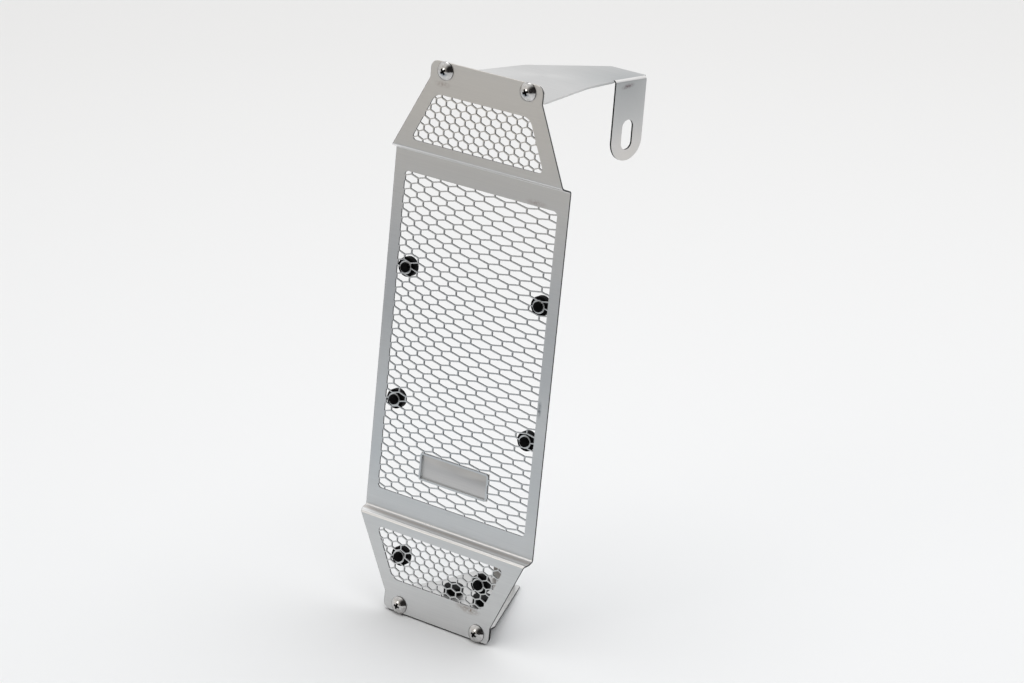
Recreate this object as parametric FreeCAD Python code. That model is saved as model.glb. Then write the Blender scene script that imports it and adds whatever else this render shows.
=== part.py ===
import FreeCAD, Part
import math
import os

os.makedirs("parts", exist_ok=True)

Vec = FreeCAD.Vector

# Everything is in millimetres. The guard is modelled upright, with X to the right,
# Y to the back and Z up, and is leaned back on its feet at the very end.

# Guard panel: one sheet, folded so that its middle lies behind its two ends
PANEL_SHEET = 1.0
PANEL_WIDTH = 131.2
MIDDLE_HEIGHT = 239.2
UPPER_END_HEIGHT = 59.5
LOWER_END_HEIGHT = 60.4
END_WIDTH = 83.4
END_OFFSET_X = 1.9
UPPER_END_SIDE_HEIGHT = 11.3
LOWER_END_SIDE_HEIGHT = 12.2
END_CORNER_RADIUS = 5.0
SHOULDER_IN = 1.3
SHOULDER_CORNER_RADIUS = 1.0
STEP_DEPTH = 7.0
STEP_RISE = 2.4
BEND_RADIUS = 1.0

# Windows that hold the mesh, placed from the panel's middle height
SIDE_BORDER = 8.0
MID_WINDOW_HEIGHT = 211.6
MID_WINDOW_RADIUS = 3.0
END_WINDOW_NEAR = 128.5
END_WINDOW_FAR = 160.7
END_WINDOW_NEAR_LEFT = -50.4
END_WINDOW_NEAR_RIGHT = 49.5
END_WINDOW_FAR_LEFT = -34.8
END_WINDOW_FAR_RIGHT = 35.75
END_WINDOW_RADIUS = 4.5

# Mesh: rows of flat hexagons, which widen from left to right in the middle window
WEB = 1.1
MID_ROWS = 28
END_ROWS = 5
FIRST_HALF_CELL = 7.8
HALF_CELL_GROWTH = 0.7
LAST_HALF_CELL = 13.0
END_HALF_CELL = 5.5
SIDE_SHARE = 2.0 / 3.0
SMALLEST_CELL = 9.0

# Bare name plate, behind a framed opening in the mesh
PLATE_FRAME_WIDTH = 53.0
PLATE_FRAME_HEIGHT = 18.4
PLATE_FRAME_RIM = 1.2
PLATE_DROP = 82.4
PLATE_RADIUS = 1.0
PLATE_SHEET = 1.0

# Small turned pieces and their holes are drawn with flat sides, to keep the model light
BUMPER_SIDES = 16
SCREW_SIDES = 20

# Rubber bumpers: a disc behind the sheet and a shank through it, which stands out as a nose
BUMPER_DISC_RADIUS = 6.4
BUMPER_DISC_HEIGHT = 5.0
BUMPER_DISC_CHAMFER = 0.8
BUMPER_HOLE_RADIUS = 3.35
BUMPER_SHANK_CLEARANCE = 0.05
BUMPER_NOSE_HEIGHT = 1.8
BUMPER_NOSE_CHAMFER = 0.7
BUMPER_RING_RADIUS = 4.4
MID_BUMPER_IN = 6.8
MID_BUMPER_Z = 44.0
END_BUMPER_X = 31.4
END_BUMPER_DROP = 144.4

# Screws and nuts that hold the two brackets to the panel
SCREW_FROM_SIDE = 11.1
UPPER_SCREW_OFFSET_X = 1.8
LOWER_SCREW_OFFSET_X = 3.0
SCREW_EDGE = 5.5
SCREW_HOLE_RADIUS = 2.75
SCREW_RADIUS = 2.45
SCREW_LENGTH = 8.0
HEAD_RADIUS = 5.9
HEAD_HEIGHT = 3.2
HEAD_RIM = 0.5
CROSS_WIDTH = 1.2
CROSS_SPAN = 4.8
CROSS_DEPTH = 2.1
NUT_FLATS = 8.0
NUT_HEIGHT = 4.0
THREAD_CLEARANCE = 0.05

# Brackets: a flange behind the panel's end and a plate that reaches back from it
BRACKET_SHEET = 1.2
FLANGE_INSET = 0.4
TAB_ROOT = 6.0
UPPER_PLATE_DROP = 10.3
UPPER_PLATE_RISE_DEG = 2.0
UPPER_PLATE_LEFT_BACK = 66.0
UPPER_PLATE_LEFT_IN = 23.7
UPPER_PLATE_DEPTH = 107.0
UPPER_PLATE_END_X = 21.4
UPPER_PLATE_WAIST_IN = 2.8
UPPER_PLATE_WAIST_BACK = 52.0
UPPER_TAB_FRONT_BACK = 78.7
UPPER_TAB_FRONT_X = 43.9
UPPER_TAB_TURN_DEG = 12.6
UPPER_TAB_WIDTH = 26.4
UPPER_TAB_LENGTH = 53.0
SLOT_WIDTH = 9.4
SLOT_LENGTH = 19.4
SLOT_FROM_END = 16.8
RELIEF = 1.2
BASE_BOTTOM_Z = 10.6
BASE_RISE_DEG = 0.65
BASE_STRAIGHT = 3.3
BASE_DEPTH = 69.0
BASE_END_WIDTH = 35.0
BASE_KNEE_X = -25.0
BASE_KNEE_BACK = 35.0
BASE_KNEE_RADIUS = 40.0
BASE_BUMPER_LEFT_X = -6.8
BASE_BUMPER_RIGHT_X = 16.2
BASE_BUMPER_BACK = 28.0
LOWER_TAB_X = 5.0
LOWER_TAB_WIDTH = 17.0
LOWER_TAB_HEIGHT = 24.0
LOWER_TAB_HOLE_RADIUS = 3.3

# Places that follow from the sizes above
SHOULDER_WIDTH = PANEL_WIDTH - 2 * SHOULDER_IN
MID_WINDOW_WIDTH = PANEL_WIDTH - 2 * SIDE_BORDER
MID_BUMPER_X = MID_WINDOW_WIDTH / 2 - MID_BUMPER_IN
PANEL_HEIGHT = LOWER_END_HEIGHT + STEP_RISE + MIDDLE_HEIGHT + STEP_RISE + UPPER_END_HEIGHT
MIDDLE_Z = LOWER_END_HEIGHT + STEP_RISE + MIDDLE_HEIGHT / 2
END_FRONT_Y = -STEP_DEPTH
FLANGE_FRONT_Y = END_FRONT_Y + PANEL_SHEET
BRACKET_BACK_Y = FLANGE_FRONT_Y + BRACKET_SHEET
END_LEFT_X = END_OFFSET_X - END_WIDTH / 2
END_RIGHT_X = END_OFFSET_X + END_WIDTH / 2
FLANGE_LEFT_X = END_LEFT_X + FLANGE_INSET
FLANGE_RIGHT_X = END_RIGHT_X - FLANGE_INSET
BEND_SETBACK = BEND_RADIUS + BRACKET_SHEET
BASE_TOP_Z = BASE_BOTTOM_Z + BRACKET_SHEET
BASE_END_Y = BRACKET_BACK_Y + BASE_DEPTH
BASE_RISE = (BASE_END_Y - FLANGE_FRONT_Y) * math.tan(math.radians(BASE_RISE_DEG))
UPPER_SHOULDER_Z = PANEL_HEIGHT - UPPER_END_SIDE_HEIGHT
UPPER_PLATE_TOP_Z = PANEL_HEIGHT - UPPER_PLATE_DROP
UPPER_BEND_Z = UPPER_PLATE_TOP_Z - BRACKET_SHEET
HEAD_OVERHANG = HEAD_RADIUS - SCREW_EDGE
LEAN_RAD = math.atan2(BASE_BOTTOM_Z + BASE_RISE + HEAD_OVERHANG, BASE_END_Y - END_FRONT_Y)


def rounded_outline(corners):
    """Closed wire through (point, radius) corners, each rounded by its radius."""
    arcs = []
    count = len(corners)
    for index in range(count):
        point, radius = corners[index]
        if radius <= 0:
            arcs.append((point, None, point))
            continue
        to_last = (corners[index - 1][0] - point).normalize()
        to_next = (corners[(index + 1) % count][0] - point).normalize()
        half_angle = to_last.getAngle(to_next) / 2
        reach = radius / math.tan(half_angle)
        bisector = (to_last + to_next).normalize()
        middle = point + bisector * (radius / math.sin(half_angle) - radius)
        arcs.append((point + to_last * reach, middle, point + to_next * reach))
    edges = []
    for index in range(count):
        start, middle, end = arcs[index]
        if middle is not None:
            edges.append(Part.Arc(start, middle, end).toShape())
        following = arcs[(index + 1) % count][0]
        if end.distanceToPoint(following) > 1e-6:
            edges.append(Part.LineSegment(end, following).toShape())
    return Part.Wire(edges)


def front_prism(corners, front, back):
    """Prism along Y of an outline given as (x, z, radius) corners."""
    outline = rounded_outline([(Vec(x, front, z), radius) for x, z, radius in corners])
    return Part.Face(outline).extrude(Vec(0, back - front, 0))


def plan_prism(corners, low, high):
    """Prism along Z of an outline given as (x, y, radius) corners."""
    outline = rounded_outline([(Vec(x, y, low), radius) for x, y, radius in corners])
    return Part.Face(outline).extrude(Vec(0, 0, high - low))


def folded_sheet(path, thickness, inner_radius, left, right):
    """Sheet along X whose side view follows a (y, z) path, with thickness to the left of it."""
    count = len(path)
    points = [Vec(0, y, z) for y, z in path]
    normals = []
    for index in range(count - 1):
        along = (points[index + 1] - points[index]).normalize()
        normals.append(Vec(0, -along.z, along.y))
    near = []
    far = []
    for index in range(count):
        before = normals[max(index - 1, 0)]
        after = normals[min(index, count - 2)]
        mitre = (before + after).normalize()
        offset = mitre * (thickness / mitre.dot(after))
        turn = before.cross(after).x
        near_radius = 0
        far_radius = 0
        if abs(turn) > 1e-6:
            near_radius = inner_radius + (thickness if turn > 0 else 0)
            far_radius = inner_radius + (thickness if turn < 0 else 0)
        near.append((points[index], near_radius))
        far.append((points[index] + offset, far_radius))
    profile = Part.Face(rounded_outline(near + far[::-1]))
    sheet = profile.extrude(Vec(right - left, 0, 0))
    sheet.translate(Vec(left, 0, 0))
    return sheet


def turned(profile, sides):
    """Solid turned about the Y axis from (radius, y) points, drawn with flat sides."""
    rings = []
    for radius, y in profile:
        angles = [2 * math.pi * (index + 0.5) / sides for index in range(sides)]
        rings.append([Vec(radius * math.cos(a), y, radius * math.sin(a)) for a in angles])
    faces = [Part.Face(Part.makePolygon(ring + ring[:1])) for ring in (rings[0], rings[-1])]
    for near, far in zip(rings[:-1], rings[1:]):
        for index in range(sides):
            after = (index + 1) % sides
            corners = [near[index], near[after], far[after], far[index], near[index]]
            faces.append(Part.Face(Part.makePolygon(corners)))
    solid = Part.Solid(Part.Shell(faces))
    if solid.Volume < 0:
        solid.reverse()
    return solid.removeSplitter()


def flat_sided_pin(radius, sides, start, length):
    """Tool for a hole or a ring in a sheet: a pin from start, straight to the back."""
    pin = turned([(radius, 0), (radius, length)], sides)
    pin.translate(start)
    return pin


def panel_outline():
    """Corners of the panel seen from the front: a wide middle with two tapered ends."""
    side = PANEL_WIDTH / 2
    shoulder = SHOULDER_WIDTH / 2
    low = LOWER_END_HEIGHT
    high = PANEL_HEIGHT - UPPER_END_HEIGHT
    right = [(END_RIGHT_X, 0, END_CORNER_RADIUS)]
    right.append((END_RIGHT_X, LOWER_END_SIDE_HEIGHT, SHOULDER_CORNER_RADIUS))
    right += [(shoulder, low, 0), (side, low + STEP_RISE / 2, 0)]
    right += [(side, high - STEP_RISE / 2, 0), (shoulder, high, 0)]
    right.append((END_RIGHT_X, UPPER_SHOULDER_Z, SHOULDER_CORNER_RADIUS))
    right.append((END_RIGHT_X, PANEL_HEIGHT, END_CORNER_RADIUS))
    left = []
    for x, z, radius in right:
        left.append((END_LEFT_X if x == END_RIGHT_X else -x, z, radius))
    return right + left[::-1]


def mid_window():
    """Corners of the rectangular window in the middle of the panel."""
    x = MID_WINDOW_WIDTH / 2
    low = MIDDLE_Z - MID_WINDOW_HEIGHT / 2
    high = MIDDLE_Z + MID_WINDOW_HEIGHT / 2
    return [(sx, z, MID_WINDOW_RADIUS) for sx, z in ((-x, low), (x, low), (x, high), (-x, high))]


def end_window(direction):
    """Corners of an end's window, which narrows away from the middle."""
    near = MIDDLE_Z + direction * END_WINDOW_NEAR
    far = MIDDLE_Z + direction * END_WINDOW_FAR
    places = [(END_WINDOW_NEAR_LEFT, near), (END_WINDOW_NEAR_RIGHT, near)]
    places += [(END_WINDOW_FAR_RIGHT, far), (END_WINDOW_FAR_LEFT, far)]
    return [(x, z, END_WINDOW_RADIUS) for x, z in places]


def hexagon(left, centre, right, z, row):
    """Cell between two uprights, with its points above and below its centre, less half a web."""
    side = SIDE_SHARE * row / 2
    point = row - side
    lift = point - side
    left_lean = math.hypot(centre - left, lift) / (centre - left)
    right_lean = math.hypot(right - centre, lift) / (right - centre)
    point -= WEB / 2 * (left_lean + right_lean) / 2
    left_side = side + lift * (WEB / 2) / (centre - left) - WEB / 2 * left_lean
    right_side = side + lift * (WEB / 2) / (right - centre) - WEB / 2 * right_lean
    left += WEB / 2
    right -= WEB / 2
    corners = [(left, z - left_side), (centre, z - point), (right, z - right_side)]
    corners += [(right, z + right_side), (centre, z + point), (left, z + left_side)]
    return [(x, height, 0) for x, height in corners]


def graded_columns():
    """Cell centre lines across the middle window, further apart towards its right."""
    step = FIRST_HALF_CELL
    columns = [-MID_WINDOW_WIDTH / 2]
    while columns[-1] < MID_WINDOW_WIDTH / 2:
        columns.append(columns[-1] + step)
        step = min(step + HALF_CELL_GROWTH, LAST_HALF_CELL)
    columns.insert(0, columns[0] - FIRST_HALF_CELL)
    columns.append(columns[-1] + step)
    return columns


def even_columns():
    """Cell centre lines across an end's window, evenly spaced about its middle."""
    count = math.ceil(-END_WINDOW_NEAR_LEFT / END_HALF_CELL) + 1
    return [index * END_HALF_CELL for index in range(-count, count + 1)]


def mesh_cells(window, columns, rows, first_column, front, back):
    """Prisms of all the cells that a window holds, cut off at its edge."""
    heights = [z for x, z, radius in window]
    low = min(heights)
    row = (max(heights) - low) / rows
    opening = front_prism(window, front, back)
    cells = []
    for index in range(rows + 1):
        start = 1 + (index + first_column) % 2
        for column in range(start, len(columns) - 1, 2):
            spread = columns[column - 1:column + 2]
            corners = hexagon(spread[0], spread[1], spread[2], low + index * row, row)
            cell = front_prism(corners, front, back).common(opening)
            if cell.Volume > SMALLEST_CELL * (back - front):
                cells.append(cell)
    return cells


def panel_bumper_places():
    """(x, front y, z) of every bumper that sits in the mesh."""
    places = {}
    for side, x in (("left", -1), ("right", 1)):
        places["bumper_upper_" + side] = (x * MID_BUMPER_X, 0, MIDDLE_Z + MID_BUMPER_Z)
        places["bumper_lower_" + side] = (x * MID_BUMPER_X, 0, MIDDLE_Z - MID_BUMPER_Z)
        places["bumper_foot_" + side] = (x * END_BUMPER_X, END_FRONT_Y, MIDDLE_Z - END_BUMPER_DROP)
    return places


def base_bumper_places():
    """(x, y) of the bumpers that stand on the lower bracket."""
    y = BRACKET_BACK_Y + BASE_BUMPER_BACK
    return {"bumper_base_left": (BASE_BUMPER_LEFT_X, y), "bumper_base_right": (BASE_BUMPER_RIGHT_X, y)}


def screw_places():
    """(x, z) of the screws at the panel's two ends."""
    places = {}
    for side, x in (("left", -1), ("right", 1)):
        across = x * (END_WIDTH / 2 - SCREW_FROM_SIDE)
        places["upper_" + side] = (UPPER_SCREW_OFFSET_X + across, PANEL_HEIGHT - SCREW_EDGE)
        places["lower_" + side] = (LOWER_SCREW_OFFSET_X + across, SCREW_EDGE)
    return places


def plate_frame(rim):
    """Corners of the framed opening for the name plate, rim inside its outline."""
    x = PLATE_FRAME_WIDTH / 2 - rim
    low = MIDDLE_Z - PLATE_DROP - PLATE_FRAME_HEIGHT / 2 + rim
    high = MIDDLE_Z - PLATE_DROP + PLATE_FRAME_HEIGHT / 2 - rim
    radius = max(PLATE_RADIUS - rim, 0.3)
    return [(sx, z, radius) for sx, z in ((-x, low), (x, low), (x, high), (-x, high))]


def make_guard_panel():
    """The folded sheet with its three mesh windows, bumper rings and holes."""
    upper_fold = PANEL_HEIGHT - UPPER_END_HEIGHT
    path = [(END_FRONT_Y, PANEL_HEIGHT), (END_FRONT_Y, upper_fold)]
    path += [(0, upper_fold - STEP_RISE), (0, LOWER_END_HEIGHT + STEP_RISE)]
    path += [(END_FRONT_Y, LOWER_END_HEIGHT), (END_FRONT_Y, 0)]
    sheet = folded_sheet(path, PANEL_SHEET, BEND_RADIUS, -PANEL_WIDTH / 2, PANEL_WIDTH / 2)
    front = END_FRONT_Y - 1
    back = PANEL_SHEET + 1
    panel = sheet.common(front_prism(panel_outline(), front, back))
    cells = mesh_cells(mid_window(), graded_columns(), MID_ROWS, 1, front, back)
    cells += mesh_cells(end_window(1), even_columns(), END_ROWS, 0, front, back)
    cells += mesh_cells(end_window(-1), even_columns(), END_ROWS, 0, front, back)
    kept = [front_prism(plate_frame(0), front, back)]
    holes = [front_prism(plate_frame(PLATE_FRAME_RIM), front, back)]
    for x, y, z in panel_bumper_places().values():
        start = Vec(x, front, z)
        kept.append(flat_sided_pin(BUMPER_RING_RADIUS, BUMPER_SIDES, start, back - front))
        holes.append(flat_sided_pin(BUMPER_HOLE_RADIUS, BUMPER_SIDES, start, back - front))
    for x, z in screw_places().values():
        start = Vec(x, front, z)
        holes.append(flat_sided_pin(SCREW_HOLE_RADIUS, SCREW_SIDES, start, back - front))
    openings = Part.makeCompound(cells).cut(kept)
    return panel.cut([openings] + holes)


def make_name_plate():
    """Bare plate that closes the framed opening from behind."""
    corners = [(x, z, 0) for x, z, radius in plate_frame(0)]
    return front_prism(corners, PANEL_SHEET, PANEL_SHEET + PLATE_SHEET)


def make_bumper(sheet):
    """Bumper for a sheet whose front face is at y = 0, with its disc behind the sheet."""
    shank = BUMPER_HOLE_RADIUS - BUMPER_SHANK_CLEARANCE
    end = sheet + BUMPER_DISC_HEIGHT
    profile = [(shank - BUMPER_NOSE_CHAMFER, -BUMPER_NOSE_HEIGHT)]
    profile += [(shank, BUMPER_NOSE_CHAMFER - BUMPER_NOSE_HEIGHT), (shank, sheet)]
    profile += [(BUMPER_DISC_RADIUS, sheet), (BUMPER_DISC_RADIUS, end - BUMPER_DISC_CHAMFER)]
    profile.append((BUMPER_DISC_RADIUS - BUMPER_DISC_CHAMFER, end))
    return turned(profile, BUMPER_SIDES)


def make_screw():
    """Cross-recess screw with a wide domed head, on the Y axis with its seat at y = 0."""
    dome_rise = HEAD_HEIGHT - HEAD_RIM
    dome = (HEAD_RADIUS ** 2 + dome_rise ** 2) / (2 * dome_rise)
    profile = []
    for share in (0.36, 0.7, 1):
        radius = HEAD_RADIUS * share
        profile.append((radius, dome - HEAD_HEIGHT - math.sqrt(dome ** 2 - radius ** 2)))
    profile += [(HEAD_RADIUS, 0), (SCREW_RADIUS, 0), (SCREW_RADIUS, SCREW_LENGTH)]
    body = turned(profile, SCREW_SIDES)
    blades = []
    for turn in (0, 90):
        top = CROSS_SPAN / 2
        points = [Vec(-top, -HEAD_HEIGHT - 1, 0), Vec(top, -HEAD_HEIGHT - 1, 0)]
        points += [Vec(top, -HEAD_HEIGHT + 0.6, 0), Vec(0.5, CROSS_DEPTH - HEAD_HEIGHT, 0)]
        points += [Vec(-0.5, CROSS_DEPTH - HEAD_HEIGHT, 0), Vec(-top, -HEAD_HEIGHT + 0.6, 0)]
        blade = Part.Face(Part.makePolygon(points + points[:1])).extrude(Vec(0, 0, CROSS_WIDTH))
        blade.translate(Vec(0, 0, -CROSS_WIDTH / 2))
        blade.rotate(Vec(0, 0, 0), Vec(0, 1, 0), turn)
        blades.append(blade)
    return body.cut(blades)


def make_nut():
    """Hexagon nut on the Y axis, with its seat at y = 0, bored to clear the screw's corners."""
    corner = NUT_FLATS / math.sqrt(3)
    body = turned([(corner, 0), (corner, NUT_HEIGHT)], 6)
    bore = SCREW_RADIUS + THREAD_CLEARANCE
    return body.cut(turned([(bore, -1), (bore, NUT_HEIGHT + 1)], SCREW_SIDES))


def bent_sheet(flange_end_z, corner_z, depth, rise_deg):
    """Flange in front and plate behind it, joined by a bend, before they are cut to outline."""
    rise = depth * math.tan(math.radians(rise_deg))
    path = [(FLANGE_FRONT_Y, flange_end_z), (FLANGE_FRONT_Y, corner_z)]
    path.append((FLANGE_FRONT_Y + depth, corner_z + rise))
    if flange_end_z < corner_z:
        path.reverse()
    return folded_sheet(path, BRACKET_SHEET, BEND_RADIUS, -PANEL_WIDTH / 2, PANEL_WIDTH / 2)


def trim_flange(bracket, end_z):
    """Round the corners of the flange that ends at the height end_z, and make its screw holes."""
    middle = bracket.BoundBox.Center.z
    radius = END_CORNER_RADIUS - FLANGE_INSET
    corners = [(FLANGE_LEFT_X, end_z, radius), (FLANGE_RIGHT_X, end_z, radius)]
    corners += [(FLANGE_RIGHT_X, 2 * middle - end_z, 0), (FLANGE_LEFT_X, 2 * middle - end_z, 0)]
    flange = front_prism(corners, FLANGE_FRONT_Y - 1, BRACKET_BACK_Y)
    behind = Part.makeBox(400, 400, 400, Vec(-200, BRACKET_BACK_Y, middle - 200))
    holes = []
    for x, z in screw_places().values():
        start = Vec(x, FLANGE_FRONT_Y - 1, z)
        holes.append(flat_sided_pin(SCREW_HOLE_RADIUS, SCREW_SIDES, start, BRACKET_SHEET + 2))
    return bracket.common(flange.fuse(behind)).cut(holes)


def turned_tab(length, width):
    """Tab folded off a plate: fold along +X, outside to +Y, hanging down to a round end."""
    path = [(0, -length), (0, 0), (-TAB_ROOT, 0)]
    tab = folded_sheet(path, BRACKET_SHEET, BEND_RADIUS, 0, width)
    radius = width / 2 - 0.01
    corners = [(0, -length, radius), (width, -length, radius), (width, 10, 0), (0, 10, 0)]
    return tab.common(front_prism(corners, -20, 20))


def tab_slot():
    """Tool for the long slot near the upper tab's round end."""
    middle = UPPER_TAB_WIDTH / 2
    low = SLOT_FROM_END - UPPER_TAB_LENGTH - SLOT_LENGTH / 2
    high = low + SLOT_LENGTH
    radius = SLOT_WIDTH / 2 - 0.01
    sides = (middle - SLOT_WIDTH / 2, middle + SLOT_WIDTH / 2)
    places = [(sides[0], low), (sides[1], low), (sides[1], high), (sides[0], high)]
    return front_prism([(x, z, radius) for x, z in places], -20, 20)


def make_upper_bracket():
    """Flange, long tapered plate and slotted tab, folded from one sheet."""
    start = BRACKET_BACK_Y
    turn = math.radians(UPPER_TAB_TURN_DEG)
    along = Vec(math.sin(turn), math.cos(turn), 0)
    inward = Vec(-math.cos(turn), math.sin(turn), 0)
    fold_start = Vec(UPPER_TAB_FRONT_X, start + UPPER_TAB_FRONT_BACK, 0)
    root_start = fold_start + inward * BEND_SETBACK
    root_end = root_start + along * UPPER_TAB_WIDTH
    far_corner = root_end + along * RELIEF
    notch = root_start - along * RELIEF
    lip = notch - inward * BEND_SETBACK * 0.9
    left_x = END_LEFT_X + UPPER_PLATE_LEFT_IN
    waist_x = FLANGE_RIGHT_X - UPPER_PLATE_WAIST_IN
    corners = [(FLANGE_LEFT_X, FLANGE_FRONT_Y, 0), (FLANGE_LEFT_X, start, 0)]
    corners.append((left_x, start + UPPER_PLATE_LEFT_BACK, 3))
    corners.append((UPPER_PLATE_END_X, start + UPPER_PLATE_DEPTH, 3))
    corners += [(point.x, point.y, 0) for point in (far_corner, root_end, root_start, notch)]
    corners += [(lip.x, lip.y, 1.5), (waist_x, start + UPPER_PLATE_WAIST_BACK, 60)]
    corners += [(FLANGE_RIGHT_X, start + 4, 0), (FLANGE_RIGHT_X, FLANGE_FRONT_Y, 0)]
    flange_end = PANEL_HEIGHT - FLANGE_INSET
    sheet = bent_sheet(flange_end, UPPER_BEND_Z, UPPER_PLATE_DEPTH + 30, UPPER_PLATE_RISE_DEG)
    bracket = sheet.common(plan_prism(corners, UPPER_BEND_Z - 20, PANEL_HEIGHT + 20))
    tab = turned_tab(UPPER_TAB_LENGTH, UPPER_TAB_WIDTH).cut(tab_slot())
    tab.rotate(Vec(0, 0, 0), Vec(0, 0, 1), -90 - UPPER_TAB_TURN_DEG)
    tab.translate(fold_start + along * UPPER_TAB_WIDTH + Vec(0, 0, UPPER_PLATE_TOP_Z))
    tab.rotate(Vec(0, FLANGE_FRONT_Y, UPPER_BEND_Z), Vec(1, 0, 0), UPPER_PLATE_RISE_DEG)
    return trim_flange(bracket, flange_end).fuse(tab).removeSplitter()


def tilt_with_base(shape):
    """Turn a shape that was placed on the level base by the base's own rise."""
    shape.rotate(Vec(0, FLANGE_FRONT_Y, BASE_TOP_Z), Vec(1, 0, 0), BASE_RISE_DEG)
    return shape


def make_lower_bracket():
    """Flange, tapered base and upright tab, folded from one sheet."""
    start = BRACKET_BACK_Y
    half_end = BASE_END_WIDTH / 2
    tab_left = LOWER_TAB_X - LOWER_TAB_WIDTH / 2
    tab_right = LOWER_TAB_X + LOWER_TAB_WIDTH / 2
    root = BASE_END_Y - BEND_SETBACK
    corners = [(FLANGE_LEFT_X, FLANGE_FRONT_Y, 0), (FLANGE_LEFT_X, start + BASE_STRAIGHT, 0)]
    corners += [(BASE_KNEE_X, start + BASE_KNEE_BACK, BASE_KNEE_RADIUS), (-half_end, BASE_END_Y, 2)]
    corners += [(tab_left - RELIEF, BASE_END_Y, 0), (tab_left - RELIEF, root, 0)]
    corners += [(tab_right + RELIEF, root, 0), (tab_right + RELIEF, BASE_END_Y, 0)]
    corners += [(half_end, BASE_END_Y, 1), (FLANGE_RIGHT_X, start + BASE_STRAIGHT, 0)]
    corners.append((FLANGE_RIGHT_X, FLANGE_FRONT_Y, 0))
    sheet = bent_sheet(FLANGE_INSET, BASE_TOP_Z, BASE_DEPTH + 30, BASE_RISE_DEG)
    bracket = sheet.common(plan_prism(corners, -10, BASE_TOP_Z + 20))
    tab = turned_tab(LOWER_TAB_HEIGHT, LOWER_TAB_WIDTH)
    hole_start = Vec(LOWER_TAB_WIDTH / 2, -20, LOWER_TAB_WIDTH / 2 - LOWER_TAB_HEIGHT)
    tab = tab.cut(Part.makeCylinder(LOWER_TAB_HOLE_RADIUS, 40, hole_start, Vec(0, 1, 0)))
    tab.rotate(Vec(0, 0, 0), Vec(0, 1, 0), 180)
    tab.translate(Vec(tab_right, BASE_END_Y, BASE_BOTTOM_Z))
    bracket = trim_flange(bracket, FLANGE_INSET).fuse(tilt_with_base(tab)).removeSplitter()
    holes = []
    for x, y in base_bumper_places().values():
        hole = flat_sided_pin(BUMPER_HOLE_RADIUS, BUMPER_SIDES, Vec(0, -5, 0), 10)
        hole.rotate(Vec(0, 0, 0), Vec(1, 0, 0), 90)
        hole.translate(Vec(x, y, BASE_BOTTOM_Z))
        holes.append(tilt_with_base(hole))
    return bracket.cut(holes)


def make_parts():
    """Every node of the guard, upright and in place."""
    parts = {}
    parts["guard_panel"] = make_guard_panel()
    parts["name_plate"] = make_name_plate()
    parts["upper_bracket"] = make_upper_bracket()
    parts["lower_bracket"] = make_lower_bracket()
    for name, (x, z) in screw_places().items():
        parts["screw_" + name] = make_screw()
        parts["screw_" + name].translate(Vec(x, END_FRONT_Y, z))
        parts["nut_" + name] = make_nut()
        parts["nut_" + name].translate(Vec(x, BRACKET_BACK_Y, z))
    for name, place in panel_bumper_places().items():
        parts[name] = make_bumper(PANEL_SHEET)
        parts[name].translate(Vec(*place))
    for name, (x, y) in base_bumper_places().items():
        bumper = make_bumper(BRACKET_SHEET)
        bumper.rotate(Vec(0, 0, 0), Vec(1, 0, 0), 90)
        bumper.translate(Vec(x, y, BASE_BOTTOM_Z))
        parts[name] = tilt_with_base(bumper)
    return parts


def lean_on_feet(parts):
    """Lean everything back onto the panel's lower edge and the base's end, over the origin."""
    for shape in parts.values():
        shape.rotate(Vec(0, FLANGE_FRONT_Y, 0), Vec(1, 0, 0), -math.degrees(LEAN_RAD))
    box = FreeCAD.BoundBox()
    for shape in parts.values():
        box.add(shape.BoundBox)
    shift = Vec(-box.Center.x, -box.Center.y, -box.ZMin)
    for shape in parts.values():
        shape.translate(shift)


def main():
    """Build the guard and write one file for each node."""
    parts = make_parts()
    lean_on_feet(parts)
    for name, shape in parts.items():
        if shape.ShapeType == "Compound" and len(shape.Solids) == 1:
            shape = shape.Solids[0]
        shape.exportStep("parts/" + name + ".step")


main()
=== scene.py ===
"""Looks of the oil cooler guard: fine mesh sheet, brackets, screws, nuts and rubber bumpers.

Sizes are in metres. Pieces of the sheet are shaped upright, as the sheet lies on the
bench: X to the right, Y to the back, Z up from its lower edge. Each is then leaned
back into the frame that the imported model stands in.
"""
import logging
import math
from dataclasses import dataclass, field
from enum import Enum
from typing import Callable, Iterable

import bmesh
import bpy
from mathutils import Matrix, Vector


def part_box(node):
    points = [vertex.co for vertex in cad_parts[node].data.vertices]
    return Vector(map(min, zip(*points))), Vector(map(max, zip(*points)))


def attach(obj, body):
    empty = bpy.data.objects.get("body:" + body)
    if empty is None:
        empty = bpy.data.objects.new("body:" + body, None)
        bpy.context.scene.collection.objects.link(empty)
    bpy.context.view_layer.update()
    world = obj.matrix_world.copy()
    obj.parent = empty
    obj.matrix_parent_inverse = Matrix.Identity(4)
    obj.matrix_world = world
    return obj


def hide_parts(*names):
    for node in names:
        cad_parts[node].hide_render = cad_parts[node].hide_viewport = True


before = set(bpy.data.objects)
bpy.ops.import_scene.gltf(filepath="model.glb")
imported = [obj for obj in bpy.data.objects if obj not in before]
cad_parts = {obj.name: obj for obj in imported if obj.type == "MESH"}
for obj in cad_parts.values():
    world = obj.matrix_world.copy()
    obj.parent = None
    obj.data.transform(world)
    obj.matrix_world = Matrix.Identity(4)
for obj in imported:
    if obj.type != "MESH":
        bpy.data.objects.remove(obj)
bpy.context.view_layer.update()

LOG = logging.getLogger("oil_cooler_guard")
MM = 0.001
Point = tuple[float, float, float]


# Bench tools: selection, primitives, edit mode and modifiers

def select_only(*objects: bpy.types.Object) -> None:
    """Select these objects alone, with the first of them active.

    Args:
        objects: what stays selected.
    """
    bpy.ops.object.select_all(action="DESELECT")
    for item in objects:
        item.select_set(True)
    bpy.context.view_layer.objects.active = objects[0]


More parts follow.
